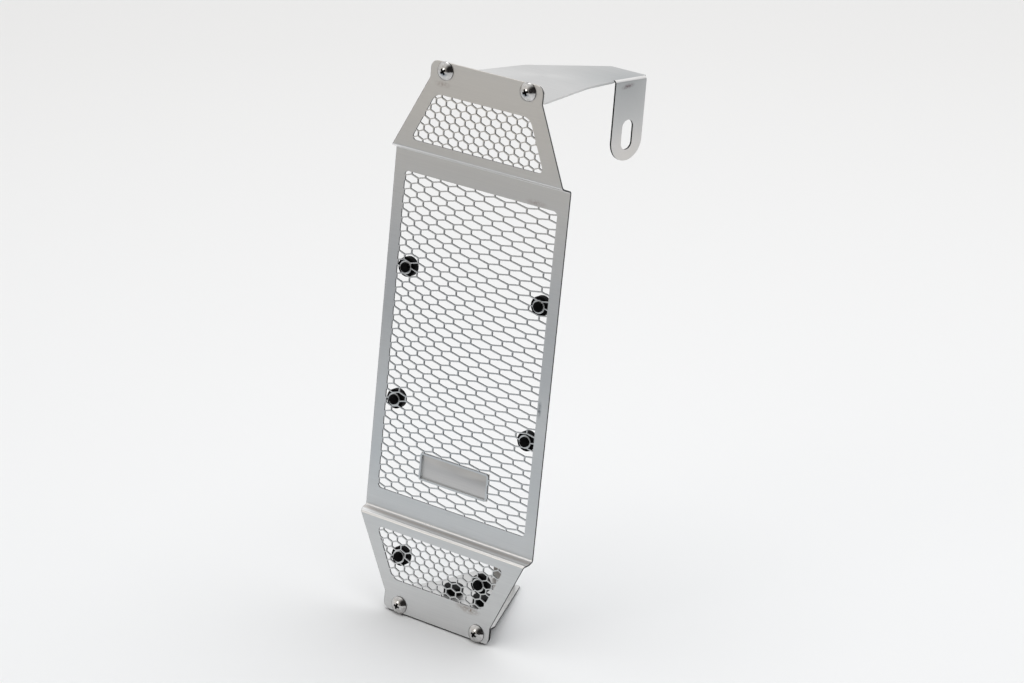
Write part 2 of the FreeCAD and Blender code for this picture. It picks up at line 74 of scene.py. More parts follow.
def edit(piece: bpy.types.Object, kind: str = "VERT") -> None:
    """Open a piece in edit mode with nothing selected.

    Args:
        piece: the piece to work on.
        kind: VERT, EDGE or FACE selection.
    """
    select_only(piece)
    bpy.ops.object.mode_set(mode="EDIT")
    bpy.ops.mesh.select_mode(type=kind)
    bpy.ops.mesh.select_all(action="DESELECT")


def close_edit() -> None:
    """Go back to object mode."""
    bpy.ops.object.mode_set(mode="OBJECT")


def pick(piece: bpy.types.Object, part: str, test: Callable[..., bool]) -> int:
    """Select the vertices, edges or faces of a piece in edit mode that pass a test.

    Args:
        piece: the piece that is open in edit mode.
        part: verts, edges or faces.
        test: says of each element whether it is wanted.

    Returns:
        How many elements were selected.
    """
    bpy.ops.mesh.select_all(action="DESELECT")
    shape = bmesh.from_edit_mesh(piece.data)
    wanted = [element for element in getattr(shape, part) if test(element)]
    for element in wanted:
        element.select_set(True)
    shape.select_flush_mode()
    bmesh.update_edit_mesh(piece.data)
    return len(wanted)


def settle(piece: bpy.types.Object) -> None:
    """Move a piece's place, turn and size into its mesh."""
    select_only(piece)
    bpy.ops.object.transform_apply(location=True, rotation=True, scale=True)


def named(piece: bpy.types.Object, name: str) -> bpy.types.Object:
    """Name a piece and its mesh alike, and hand it back."""
    piece.name = name
    piece.data.name = name
    return piece


def block(name: str, low: Point, high: Point) -> bpy.types.Object:
    """Add a box between two corners.

    Args:
        name: name of the box.
        low: lowest corner.
        high: highest corner.

    Returns:
        The box, with its place in its mesh.
    """
    bpy.ops.object.select_all(action="DESELECT")
    centre = [(a + b) / 2 for a, b in zip(low, high)]
    bpy.ops.mesh.primitive_cube_add(size=1, location=centre)
    piece = bpy.context.object
    piece.scale = [b - a for a, b in zip(low, high)]
    settle(piece)
    return named(piece, name)


def pin(name: str, sides: int, radius: float, start: Point, length: float) -> bpy.types.Object:
    """Add a round or many-sided pin that points to the back.

    Args:
        name: name of the pin.
        sides: how many flat sides it has.
        radius: radius of its corners.
        start: middle of its front end.
        length: how far it reaches back.

    Returns:
        The pin, with its place in its mesh.
    """
    bpy.ops.object.select_all(action="DESELECT")
    middle = (start[0], start[1] + length / 2, start[2])
    bpy.ops.mesh.primitive_cylinder_add(
        vertices=sides, radius=radius, depth=length, location=middle, rotation=(math.pi / 2, 0, 0)
    )
    piece = bpy.context.object
    settle(piece)
    return named(piece, name)


def modify(piece: bpy.types.Object, kind: str, **settings: object) -> None:
    """Give a piece a modifier and apply it.

    Args:
        piece: the piece.
        kind: type of the modifier.
        settings: values of the modifier.
    """
    modifier = piece.modifiers.new(kind.title(), kind)
    for key, value in settings.items():
        setattr(modifier, key, value)
    select_only(piece)
    bpy.ops.object.modifier_apply(modifier=modifier.name)


def combine(piece: bpy.types.Object, other: bpy.types.Object, how: str) -> None:
    """Cut, keep or add the space of another piece, which is used up.

    Args:
        piece: the piece that stays.
        other: the tool.
        how: DIFFERENCE, INTERSECT or UNION.
    """
    modify(piece, "BOOLEAN", operation=how, solver="EXACT", object=other)
    bpy.data.objects.remove(other, do_unlink=True)


def join(pieces: list[bpy.types.Object], name: str) -> bpy.types.Object:
    """Join pieces into one.

    Args:
        pieces: what is joined.
        name: name of the result.

    Returns:
        The joined piece.
    """
    select_only(*pieces)
    bpy.ops.object.join()
    return named(bpy.context.object, name)


def duplicate(piece: bpy.types.Object, name: str, move: Iterable[float]) -> bpy.types.Object:
    """Copy a piece with a mesh of its own.

    Args:
        piece: what is copied.
        name: name of the copy.
        move: how far the copy lies from the piece.

    Returns:
        The copy, with its place in its mesh.
    """
    copy = piece.copy()
    copy.data = piece.data.copy()
    bpy.context.scene.collection.objects.link(copy)
    copy.location = Vector(move)
    settle(copy)
    return named(copy, name)


def tidy_normals(piece: bpy.types.Object) -> None:
    """Merge doubled vertices and turn every face outwards."""
    edit(piece)
    bpy.ops.mesh.select_all(action="SELECT")
    bpy.ops.mesh.remove_doubles(threshold=1e-6)
    bpy.ops.mesh.normals_make_consistent(inside=False)
    close_edit()


def smooth(piece: bpy.types.Object, degrees: float) -> None:
    """Shade a piece smoothly, except across edges sharper than an angle."""
    select_only(piece)
    bpy.ops.object.shade_smooth_by_angle(angle=math.radians(degrees))


def even_normals(piece: bpy.types.Object) -> None:
    """Keep the large flat faces flat beside smooth bends."""
    modify(piece, "WEIGHTED_NORMAL", weight=100, keep_sharp=True)


def paint_faces(piece: bpy.types.Object, first: bpy.types.Material,
                *others: tuple[bpy.types.Material, Callable[..., bool]]) -> None:
    """Give a piece its material, and the faces that pass a test another one.

    Args:
        piece: the piece.
        first: the material of all faces that pass no test.
        others: further materials, each with the test for its faces.
    """
    piece.data.materials.clear()
    for material in (first, *(material for material, _ in others)):
        piece.data.materials.append(material)
    edit(piece, "FACE")
    bpy.ops.mesh.select_all(action="SELECT")
    piece.active_material_index = 0
    bpy.ops.object.material_slot_assign()
    for slot, (_, test) in enumerate(others, 1):
        if pick(piece, "faces", test):
            piece.active_material_index = slot
            bpy.ops.object.material_slot_assign()
    close_edit()


# Node tools for the finishes

def fresh_material(name: str) -> tuple[bpy.types.Material, bpy.types.NodeTree, bpy.types.Node]:
    """Start a material.

    Args:
        name: name of the material.

    Returns:
        The material, its node tree and its surface shader.
    """
    material = bpy.data.materials.new(name)
    material.use_nodes = True
    tree = material.node_tree
    shader = next(node for node in tree.nodes if node.type == "BSDF_PRINCIPLED")
    return material, tree, shader


def place_map(tree: bpy.types.NodeTree, scale: Point, move: Point = (0, 0, 0)) -> bpy.types.NodeSocket:
    """Give the object's own coordinates, scaled and moved.

    Args:
        tree: the material's nodes.
        scale: scale of the pattern on each axis.
        move: move of the pattern after its scale.

    Returns:
        The socket with the coordinates.
    """
    coordinates = tree.nodes.new("ShaderNodeTexCoord")
    mapping = tree.nodes.new("ShaderNodeMapping")
    mapping.inputs["Scale"].default_value = scale
    mapping.inputs["Location"].default_value = move
    tree.links.new(coordinates.outputs["Object"], mapping.inputs["Vector"])
    return mapping.outputs["Vector"]


def noise(tree: bpy.types.NodeTree, vector: bpy.types.NodeSocket, scale: float,
          detail: float = 4.0, roughness: float = 0.6) -> bpy.types.NodeSocket:
    """Add a noise pattern.

    Args:
        tree: the material's nodes.
        vector: coordinates it reads.
        scale: how fine it is.
        detail: how many finer layers it has.
        roughness: how strong these layers are.

    Returns:
        The socket with its value.
    """
    node = tree.nodes.new("ShaderNodeTexNoise")
    node.inputs["Scale"].default_value = scale
    node.inputs["Detail"].default_value = detail
    node.inputs["Roughness"].default_value = roughness
    tree.links.new(vector, node.inputs["Vector"])
    return node.outputs["Fac"]


def spread(tree: bpy.types.NodeTree, value: bpy.types.NodeSocket,
           low: float, high: float, out_low: float, out_high: float) -> bpy.types.NodeSocket:
    """Map a value's range onto another one.

    Args:
        tree: the material's nodes.
        value: the value that is mapped.
        low: start of its range.
        high: end of its range.
        out_low: what the start becomes.
        out_high: what the end becomes.

    Returns:
        The socket with the mapped value.
    """
    node = tree.nodes.new("ShaderNodeMapRange")
    node.inputs["From Min"].default_value = low
    node.inputs["From Max"].default_value = high
    node.inputs["To Min"].default_value = out_low
    node.inputs["To Max"].default_value = out_high
    tree.links.new(value, node.inputs["Value"])
    return node.outputs["Result"]


def blend(tree: bpy.types.NodeTree, share: bpy.types.NodeSocket, first: object,
          second: object) -> bpy.types.NodeSocket:
    """Mix two colours, each a socket or a plain colour.

    Args:
        tree: the material's nodes.
        share: share of the second colour.
        first: first colour.
        second: second colour.

    Returns:
        The socket with the mixed colour.
    """
    node = tree.nodes.new("ShaderNodeMix")
    node.data_type = "RGBA"
    tree.links.new(share, node.inputs["Factor"])
    colours = [item for item in node.inputs if item.type == "RGBA"]
    for socket, value in zip(colours, (first, second)):
        if isinstance(value, bpy.types.NodeSocket):
            tree.links.new(value, socket)
        else:
            socket.default_value = (*value, 1.0)
    return next(item for item in node.outputs if item.type == "RGBA")


def product(tree: bpy.types.NodeTree, first: bpy.types.NodeSocket, second: bpy.types.NodeSocket | float,
            how: str = "MULTIPLY") -> bpy.types.NodeSocket:
    """Work out a value from two others.

    Args:
        tree: the material's nodes.
        first: first value.
        second: second value.
        how: the arithmetic.

    Returns:
        The socket with the result.
    """
    node = tree.nodes.new("ShaderNodeMath")
    node.operation = how
    tree.links.new(first, node.inputs[0])
    if isinstance(second, bpy.types.NodeSocket):
        tree.links.new(second, node.inputs[1])
    else:
        node.inputs[1].default_value = second
    return node.outputs["Value"]


def along(tree: bpy.types.NodeTree, vector: bpy.types.NodeSocket, side: Point) -> bpy.types.NodeSocket:
    """How far a vector reaches to one side."""
    node = tree.nodes.new("ShaderNodeVectorMath")
    node.operation = "DOT_PRODUCT"
    node.inputs[1].default_value = Vector(side).normalized()
    tree.links.new(vector, node.inputs[0])
    return node.outputs["Value"]


def relief(tree: bpy.types.NodeTree, shader: bpy.types.Node, height: bpy.types.NodeSocket,
           strength: float, distance: float) -> None:
    """Give a shader a fine relief.

    Args:
        tree: the material's nodes.
        shader: the surface shader.
        height: the height pattern.
        strength: how strong the relief is.
        distance: how deep it is, in metres.
    """
    node = tree.nodes.new("ShaderNodeBump")
    node.inputs["Strength"].default_value = strength
    node.inputs["Distance"].default_value = distance
    tree.links.new(height, node.inputs["Height"])
    tree.links.new(node.outputs["Normal"], shader.inputs["Normal"])


class Grain(Enum):
    """Which way the brushing of a sheet runs: the scale of its streaks on each axis."""

    ACROSS = (18.0, 1500.0, 1500.0)
    BACKWARDS = (1500.0, 18.0, 1500.0)


@dataclass(frozen=True)
class Mark:
    """A local mark on a sheet: a stain, a scuff, or a painted tone of reflection or shade."""

    centre: Point
    size: Point
    colour: tuple[float, float, float]
    strength: float
    ragged: bool = True


@dataclass(frozen=True)
class BrushedSteel:
    """Fine brushed stainless sheet."""

    name: str
    light: tuple[float, float, float] = (0.665, 0.662, 0.655)
    dark: tuple[float, float, float] = (0.60, 0.60, 0.60)
    roughness: float = 0.36
    grain: Grain = Grain.ACROSS
    marks: tuple[Mark, ...] = ()

    def make(self) -> bpy.types.Material:
        """Build the material.

        Returns:
            The material.
        """
        material, tree, shader = fresh_material(self.name)
        shader.inputs["Metallic"].default_value = 1.0
        shader.inputs["Anisotropic"].default_value = 0.4
        streaks = noise(tree, place_map(tree, self.grain.value), 1.0, 5.0, 0.7)
        clouds = noise(tree, place_map(tree, (1, 1, 1)), 22.0, 3.0, 0.55)
        specks = noise(tree, place_map(tree, (1, 1, 1)), 900.0, 2.0, 0.5)
        tone = product(tree, spread(tree, streaks, 0.3, 0.7, 0.0, 0.7),
                       spread(tree, clouds, 0.3, 0.7, 0.0, 0.3), "ADD")
        colour = blend(tree, tone, self.dark, self.light)
        for mark in self.marks:
            colour = self.stain_and_painted_light(tree, colour, mark)
        tree.links.new(colour, shader.inputs["Base Color"])
        rough = spread(tree, streaks, 0.3, 0.7, self.roughness + 0.07, self.roughness - 0.05)
        rough = product(tree, rough, spread(tree, clouds, 0.3, 0.7, -0.03, 0.04), "ADD")
        tree.links.new(rough, shader.inputs["Roughness"])
        height = product(tree, streaks, spread(tree, specks, 0.3, 0.7, 0.0, 0.3), "ADD")
        relief(tree, shader, height, 0.16, 0.00006)
        return material

    def stain_and_painted_light(self, tree: bpy.types.NodeTree, colour: bpy.types.NodeSocket, mark: Mark) -> bpy.types.NodeSocket:
        """Lay one mark over a colour: a stain, a scuff, a painted reflection or painted shade.

        Args:
            tree: the material's nodes.
            colour: the colour so far.
            mark: the mark.

        Returns:
            The socket with the marked colour.
        """
        scale = tuple(1 / size for size in mark.size)
        move = tuple(-centre / size for centre, size in zip(mark.centre, mark.size))
        gradient = tree.nodes.new("ShaderNodeTexGradient")
        gradient.gradient_type = "SPHERICAL"
        tree.links.new(place_map(tree, scale, move), gradient.inputs["Vector"])
        share = product(tree, gradient.outputs["Fac"], mark.strength)
        if mark.ragged:
            flecks = noise(tree, place_map(tree, (1, 1, 1)), 700.0, 4.0, 0.7)
            share = product(tree, share, spread(tree, flecks, 0.35, 0.6, 0.0, 1.0))
        return blend(tree, share, colour, mark.colour)


@dataclass(frozen=True)
class CutEdgeAndShade:
    """Dark metal for cut edges and painted shade, with fine lines across the sheet's thickness; on the sheet's cut
    edges the darkness is partly the cut metal's tone and partly painted shade.
    """

    name: str
    light: tuple[float, float, float] = (0.13, 0.135, 0.14)
    dark: tuple[float, float, float] = (0.065, 0.066, 0.068)
    roughness: float = 0.42
    metallic: float = 1.0

    def make(self) -> bpy.types.Material:
        """Build the material.

        Returns:
            The material.
        """
        material, tree, shader = fresh_material(self.name)
        shader.inputs["Metallic"].default_value = self.metallic
        lines = noise(tree, place_map(tree, (4000, 260, 4000)), 1.0, 3.0, 0.6)
        clouds = noise(tree, place_map(tree, (1, 1, 1)), 90.0, 3.0, 0.6)
        tone = product(tree, lines, clouds, "ADD")
        tree.links.new(blend(tree, spread(tree, tone, 0.7, 1.3, 0.0, 1.0), self.dark, self.light),
                       shader.inputs["Base Color"])
        tree.links.new(spread(tree, lines, 0.3, 0.7, self.roughness - 0.05, self.roughness + 0.12),
                       shader.inputs["Roughness"])
        relief(tree, shader, lines, 0.3, 0.00005)
        return material


@dataclass(frozen=True)
class PolishedSteel:
    """Bright screw or nut steel."""

    name: str
    light: tuple[float, float, float] = (0.74, 0.73, 0.72)
    dark: tuple[float, float, float] = (0.46, 0.455, 0.45)
    roughness: float = 0.12

    def make(self) -> bpy.types.Material:
        """Build the material.

        Returns:
            The material.
        """
        material, tree, shader = fresh_material(self.name)
        shader.inputs["Metallic"].default_value = 1.0
        clouds = noise(tree, place_map(tree, (1, 1, 1)), 420.0, 4.0, 0.6)
        scratches = noise(tree, place_map(tree, (300, 2600, 300)), 1.0, 3.0, 0.6)
        tree.links.new(blend(tree, spread(tree, clouds, 0.3, 0.7, 0.0, 1.0), self.dark, self.light),
                       shader.inputs["Base Color"])
        tree.links.new(spread(tree, clouds, 0.3, 0.7, self.roughness - 0.04, self.roughness + 0.1),
                       shader.inputs["Roughness"])
        relief(tree, shader, scratches, 0.08, 0.00005)
        return material


@dataclass(frozen=True)
class Rubber:
    """Matt black rubber with a little dust."""

    name: str
    colour: tuple[float, float, float] = (0.0015, 0.0015, 0.002)
    dust: tuple[float, float, float] = (0.006, 0.006, 0.0065)
    roughness: float = 0.42

    def make(self) -> bpy.types.Material:
        """Build the material.

        Returns:
            The material.
        """
        material, tree, shader = fresh_material(self.name)
        shader.inputs["Specular IOR Level"].default_value = 0.04
        clouds = noise(tree, place_map(tree, (1, 1, 1)), 260.0, 5.0, 0.65)
        grain = noise(tree, place_map(tree, (1, 1, 1)), 2600.0, 2.0, 0.5)
        tree.links.new(blend(tree, spread(tree, clouds, 0.45, 0.75, 0.0, 1.0), self.colour, self.dust),
                       shader.inputs["Base Color"])
        tree.links.new(spread(tree, clouds, 0.3, 0.7, self.roughness - 0.1, self.roughness + 0.15),
                       shader.inputs["Roughness"])
        relief(tree, shader, grain, 0.3, 0.00006)
        return material


@dataclass(frozen=True)
class Stance:
    """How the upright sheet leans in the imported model's frame."""

    lean_deg: float = 9.4073
    pivot_y: float = -6.0 * MM
    end_front_y: float = -7.0 * MM

    def matrix(self) -> Matrix:
        """Work out the lean about the pivot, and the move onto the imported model.

        Returns:
            The matrix from the bench to the frame.
        """
        pivot = Matrix.Translation((0, self.pivot_y, 0))
        turn = Matrix.Rotation(-math.radians(self.lean_deg), 4, "X")
        leaned = pivot @ turn @ pivot.inverted()
        front_edge = leaned @ Vector((0, self.end_front_y, 0))
        back_edge = leaned @ Vector((0, self.pivot_y, 0))
        panel_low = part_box("guard_panel")[0]
        move = Matrix.Translation((0, panel_low[1] - front_edge.y, panel_low[2] - back_edge.z))
        return move @ leaned

    def place(self, x: float, y: float, z: float) -> Point:
        """Where a place on the bench, in millimetres, comes to lie in the frame."""
        return tuple(self.matrix() @ Vector((x * MM, y * MM, z * MM)))

    def stand(self, piece: bpy.types.Object) -> None:
        """Lean a finished piece into the frame."""
        piece.matrix_world = self.matrix()
        settle(piece)


@dataclass
class GuardPanel:
    """The folded sheet with its fine mesh, rings and holes."""

    stance: Stance
    finish: BrushedSteel
    fold_polish_highlight: BrushedSteel
    edge_tone_and_shade: CutEdgeAndShade
    shaded_finish: CutEdgeAndShade
    sheet: float = 1.0 * MM
    rounded_edge: float = 0.3 * MM
    width: float = 131.2 * MM
    middle_height: float = 239.2 * MM
    upper_end: float = 59.5 * MM
    lower_end: float = 60.4 * MM
    end_width: float = 83.4 * MM
    end_offset: float = 1.9 * MM
    upper_side: float = 11.3 * MM
    lower_side: float = 12.2 * MM
    corner: float = 5.0 * MM
    shoulder: float = 128.6 * MM
    step_depth: float = 7.0 * MM
    step_rise: float = 2.4 * MM
    web: float = 0.72 * MM
    row: float = 4.6 * MM
    side_share: float = 2.0 / 3.0
    window_width: float = 115.2 * MM
    window_height: float = 211.6 * MM
    window_radius: float = 3.0 * MM
    first_half: float = 4.85 * MM
    half_growth: float = 0.27 * MM
    widest_half: float = 8.3 * MM
    left_start: float = -57.3 * MM
    end_near: float = 128.5 * MM
    end_far: float = 160.7 * MM
    end_near_sides: tuple[float, float] = (-50.4 * MM, 49.5 * MM)
    end_far_sides: tuple[float, float] = (-34.8 * MM, 35.75 * MM)
    end_radius: float = 4.5 * MM
    end_half: float = 7.553 / 2 * MM
    plate_width: float = 53.0 * MM
    plate_height: float = 18.4 * MM
    plate_rim: float = 1.2 * MM
    plate_corner: float = 1.7 * MM
    foot_line: float = 0.65 * MM
    plate_drop: float = 82.4 * MM
    ring: float = 4.4 * MM
    bumper_hole: float = 3.35 * MM
    screw_hole: float = 2.75 * MM
    bumpers: list[Point] = field(default_factory=list)
    screws: list[Point] = field(default_factory=list)

    @property
    def height(self) -> float:
        """Height of the upright sheet."""
        return self.lower_end + self.middle_height + self.upper_end + 2 * self.step_rise

    @property
    def middle_z(self) -> float:
        """Middle height of the sheet's middle part."""
        return self.lower_end + self.step_rise + self.middle_height / 2

    def folded(self) -> bpy.types.Object:
        """Draw the sheet out of one strip, along its folds, and give it its thickness.

        Returns:
            The sheet without windows.
        """
        half = self.width / 2
        bpy.ops.object.select_all(action="DESELECT")
        bpy.ops.mesh.primitive_plane_add(size=1, location=(0, 0, self.middle_z), rotation=(math.pi / 2, 0, 0))
        piece = bpy.context.object
        piece.scale = (self.width, self.middle_height, 1)
        settle(piece)
        for direction in (1, -1):
            side = self.upper_side if direction > 0 else self.lower_side
            end = self.upper_end if direction > 0 else self.lower_end
            first = self.middle_height / 2
            rows = [
                (first + self.step_rise / 2, -self.step_depth / 2, half, 0.0),
                (first + self.step_rise, -self.step_depth, self.shoulder / 2, 0.0),
                (first + self.step_rise + end - side, -self.step_depth, self.end_width / 2, self.end_offset),
                (first + self.step_rise + end, -self.step_depth, self.end_width / 2, self.end_offset),
            ]
            last = (first, 0.0, half, 0.0)
            for rise, y, reach, offset in rows:
                self.draw_out(piece, direction, last, (rise, y, reach, offset))
                last = (rise, y, reach, offset)
        self.round_corners(piece)
        self.bend_folds(piece)
        tidy_normals(piece)
        self.face_front(piece)
        modify(piece, "SOLIDIFY", thickness=self.sheet, offset=-1.0, use_even_offset=True)
        modify(piece, "BEVEL", width=self.rounded_edge, segments=2, limit_method="ANGLE",
               angle_limit=math.radians(60), use_clamp_overlap=True)
        return named(piece, "guard_panel_fine")

    def draw_out(self, piece: bpy.types.Object, direction: int, last: tuple[float, ...],
                 following: tuple[float, ...]) -> None:
        """Extrude the sheet's end edge to its next station.

        Args:
            piece: the sheet.
            direction: 1 for the upper end and -1 for the lower one.
            last: height from the middle, place in Y, half width and offset of the end edge.
            following: the same of the next station.
        """
        edge_z = self.middle_z + direction * last[0]
        edit(piece, "EDGE")
        pick(piece, "edges", lambda edge: all(abs(v.co.z - edge_z) < 1e-6 for v in edge.verts))
        bpy.ops.mesh.extrude_edges_move(
            TRANSFORM_OT_translate={
                "value": (0, following[1] - last[1], direction * (following[0] - last[0]))
            }
        )
        share = following[2] / last[2]
        bpy.ops.transform.resize(value=(share, 1, 1), center_override=(last[3], following[1], edge_z))
        bpy.ops.transform.translate(value=(following[3] - last[3], 0, 0))
        close_edit()

    def round_corners(self, piece: bpy.types.Object) -> None:
        """Round the four outer corners of the two ends."""
        edit(piece, "VERT")
        ends = (0.0, self.height)
        pick(piece, "verts", lambda v: any(abs(v.co.z - z) < 1e-6 for z in ends))
        bpy.ops.mesh.bevel(offset=self.corner, segments=8, affect="VERTICES", offset_type="OFFSET")
        close_edit()

    def bend_folds(self, piece: bpy.types.Object) -> None:
        """Give the four folds their radius."""
        first = self.middle_height / 2
        folds = {}
        for direction in (1, -1):
            folds[self.middle_z + direction * first] = 0.72 * MM
            folds[self.middle_z + direction * (first + self.step_rise)] = 1.4 * MM
        for z, reach in folds.items():
            edit(piece, "EDGE")
            pick(piece, "edges", lambda edge: all(abs(v.co.z - z) < 1e-6 for v in edge.verts))
            bpy.ops.mesh.bevel(offset=reach, segments=5, affect="EDGES", offset_type="OFFSET")
            close_edit()

    def face_front(self, piece: bpy.types.Object) -> None:
        """Turn the open sheet's faces so that they look to the front."""
        edit(piece, "FACE")
        shape = bmesh.from_edit_mesh(piece.data)
        looks_back = sum(face.normal.y * face.calc_area() for face in shape.faces) > 0
        if looks_back:
            bpy.ops.mesh.select_all(action="SELECT")
            bpy.ops.mesh.flip_normals()
        close_edit()

    def window(self, name: str, corners: list[tuple[float, float]], radius: float) -> bpy.types.Object:
        """Make the tool for a window with rounded corners.

        Args:
            name: name of the tool.
            corners: x and z of its four corners: lower left, lower right, upper right, upper left.
            radius: radius of its corners.

        Returns:
            The tool, which reaches through the whole fold.
        """
        front = -self.step_depth - 3 * MM
        back = self.sheet + 3 * MM
        piece = block(name, (-1, front, -1), (1, back, 1))
        for x_side, z_side, (x, z) in zip((-1, 1, 1, -1), (-1, -1, 1, 1), corners):
            edit(piece, "VERT")
            pick(piece, "verts", lambda v: abs(v.co.x - x_side) < 1e-6 and abs(v.co.z - z_side) < 1e-6)
            bpy.ops.transform.translate(value=(x - x_side, 0, z - z_side))
            close_edit()
        if radius > 0:
            edit(piece, "EDGE")
            pick(piece, "edges", lambda e: abs(e.verts[0].co.y - e.verts[1].co.y) > MM)
            bpy.ops.mesh.bevel(offset=radius, segments=6, affect="EDGES", offset_type="OFFSET")
            close_edit()
        return piece

    def cell(self, name: str, left: float, centre: float, right: float, z: float) -> bpy.types.Object:
        """Make the tool for one flat hexagon of the mesh.

        Args:
            name: name of the tool.
            left: x of the web at its left.
            centre: x of its two points.
            right: x of the web at its right.
            z: height of its middle.

        Returns:
            The tool.
        """
        side = self.side_share * self.row / 2
        point = self.row - side
        lift = point - side
        slant = lift / ((right - left) / 2)
        half_web = self.web / 2
        lean = math.hypot(1, slant)
        front = -self.step_depth - 2 * MM
        length = self.step_depth + self.sheet + 4 * MM
        piece = pin(name, 6, 1.0, (0, front, 0), length)
        across = (right - left) / 2 - half_web
        up = point - half_web * lean
        edit(piece, "VERT")
        bpy.ops.mesh.select_all(action="SELECT")
        bpy.ops.transform.resize(value=(across / math.cos(math.pi / 6), 1, up), center_override=(0, 0, 0))
        bpy.ops.transform.translate(value=((left + right) / 2, 0, z))
        pick(piece, "verts", lambda v: abs(v.co.z - z) > up * 0.9)
        bpy.ops.transform.translate(value=(centre - (left + right) / 2, 0, 0))
        pick(piece, "verts", lambda v: abs(v.co.z - z) < up * 0.9)
        upright = side + slant * half_web - half_web * lean
        bpy.ops.transform.resize(value=(1, 1, upright / (up / 2)), center_override=(0, 0, z))
        close_edit()
        return piece

    def cells(self, name: str, columns: list[float], low: float, rows: int, first: int) -> bpy.types.Object:
        """Make the tool for the cells of a window, one stack of cells for each column.

        Args:
            name: name of the tool.
            columns: x of the cells' points, from left to right.
            low: height of the lowest row of cells.
            rows: how many rows there are.
            first: 0 if the lowest row uses the odd columns, 1 if the even ones.

        Returns:
            All cells as one tool.
        """
        stacks = []
        for index in range(1, len(columns) - 1):
            start = (index + first) % 2
            count = (rows - start + 1) // 2
            stack = self.cell(f"{name}_{index}", *columns[index - 1:index + 2], low + start * self.row)
            modify(stack, "ARRAY", count=count, use_relative_offset=False, use_constant_offset=True,
                   constant_offset_displace=(0, 0, 2 * self.row))
            stacks.append(stack)
        return join(stacks, name)

    def graded_columns(self) -> list[float]:
        """Place the cells' points across the middle window, further apart to the right.

        Returns:
            Their x from left to right, with one on either side of the window.
        """
        step = self.first_half
        columns = [self.left_start - step, self.left_start]
        while columns[-1] < self.window_width / 2:
            columns.append(columns[-1] + step)
            step = min(step + self.half_growth, self.widest_half)
        columns.append(columns[-1] + step)
        return columns

    def even_columns(self) -> list[float]:
        """Place the cells' points across an end's window.

        Returns:
            Their x from left to right, evenly about the middle.
        """
        count = math.ceil(-self.end_near_sides[0] / self.end_half) + 1
        return [index * self.end_half for index in range(-count, count + 1)]

    def openings(self) -> bpy.types.Object:
        """Make the tool for every opening of the three windows.

        Returns:
            The tool.
        """
        half = self.window_width / 2
        low = self.middle_z - self.window_height / 2
        high = self.middle_z + self.window_height / 2
        rows = round(self.window_height / self.row) + 1
        middle = self.cells("middle_cells", self.graded_columns(), low, rows, 1)
        combine(middle, self.window("middle_window", [(-half, low), (half, low), (half, high), (-half, high)],
                                    self.window_radius), "INTERSECT")
        tools = [middle]
        for direction in (1, -1):
            near = self.middle_z + direction * self.end_near
            far = self.middle_z + direction * self.end_far
            sides = [(self.end_near_sides, near), (self.end_far_sides, far)]
            (low_sides, low_z), (high_sides, high_z) = sides[::direction]
            corners = [(low_sides[0], low_z), (low_sides[1], low_z), (high_sides[1], high_z), (high_sides[0], high_z)]
            rows = round((self.end_far - self.end_near) / self.row) + 1
            end = self.cells("end_cells", self.even_columns(), min(near, far), rows, len(self.even_columns()) // 2 % 2)
            combine(end, self.window("end_window", corners, self.end_radius), "INTERSECT")
            tools.append(end)
        tool = join(tools, "openings")
        combine(tool, self.plate_block(0.0), "DIFFERENCE")
        for index, place in enumerate(self.bumpers):
            combine(tool, self.through_pin(f"ring_{index}", self.ring, place), "DIFFERENCE")
        return tool

    def plate_block(self, rim: float) -> bpy.types.Object:
        """Make the block of the name plate's frame, less a rim all round."""
        x = self.plate_width / 2 - rim
        z = self.middle_z - self.plate_drop
        up = self.plate_height / 2 - rim
        corners = [(-x, z - up), (x, z - up), (x, z + up), (-x, z + up)]
        return self.window("plate_block", corners, self.plate_corner - rim)

    def through_pin(self, name: str, radius: float, place: Point) -> bpy.types.Object:
        """Make a round pin through the sheet at a place."""
        start = (place[0], -self.step_depth - 4 * MM, place[2])
        return pin(name, 40, radius, start, self.step_depth + self.sheet + 8 * MM)

    def build(self) -> bpy.types.Object:
        """Cut the openings and holes out of the sheet and stand it in the frame.

        Returns:
            The finished panel.
        """
        panel = self.folded()
        combine(panel, self.openings(), "DIFFERENCE")
        combine(panel, self.plate_block(self.plate_rim), "DIFFERENCE")
        holes = [self.through_pin(f"bumper_hole_{i}", self.bumper_hole, p) for i, p in enumerate(self.bumpers)]
        holes += [self.through_pin(f"screw_hole_{i}", self.screw_hole, p) for i, p in enumerate(self.screws)]
        combine(panel, join(holes, "holes"), "DIFFERENCE")
        self.mark_foot(panel)
        # Folds get a painted highlight, cut edges are darkened partly as painted shade, and the strip along the foot
        # is painted near black as shade.
        paint_faces(panel, self.finish.make(), (self.fold_polish_highlight.make(), self.is_fold),
                    (self.edge_tone_and_shade.make(), self.is_edge), (self.shaded_finish.make(), self.is_foot_edge))
        smooth(panel, 25)
        even_normals(panel)
        self.stance.stand(panel)
        return panel

    def mark_foot(self, panel: bpy.types.Object) -> None:
        """Part the narrow strip along the foot, which is painted dark as the contact shadow under the sheet, from the
        faces above it.
        """
        edit(panel, "FACE")
        bpy.ops.mesh.select_all(action="SELECT")
        bpy.ops.mesh.bisect(plane_co=(0, 0, self.foot_line), plane_no=(0, 0, 1))
        close_edit()

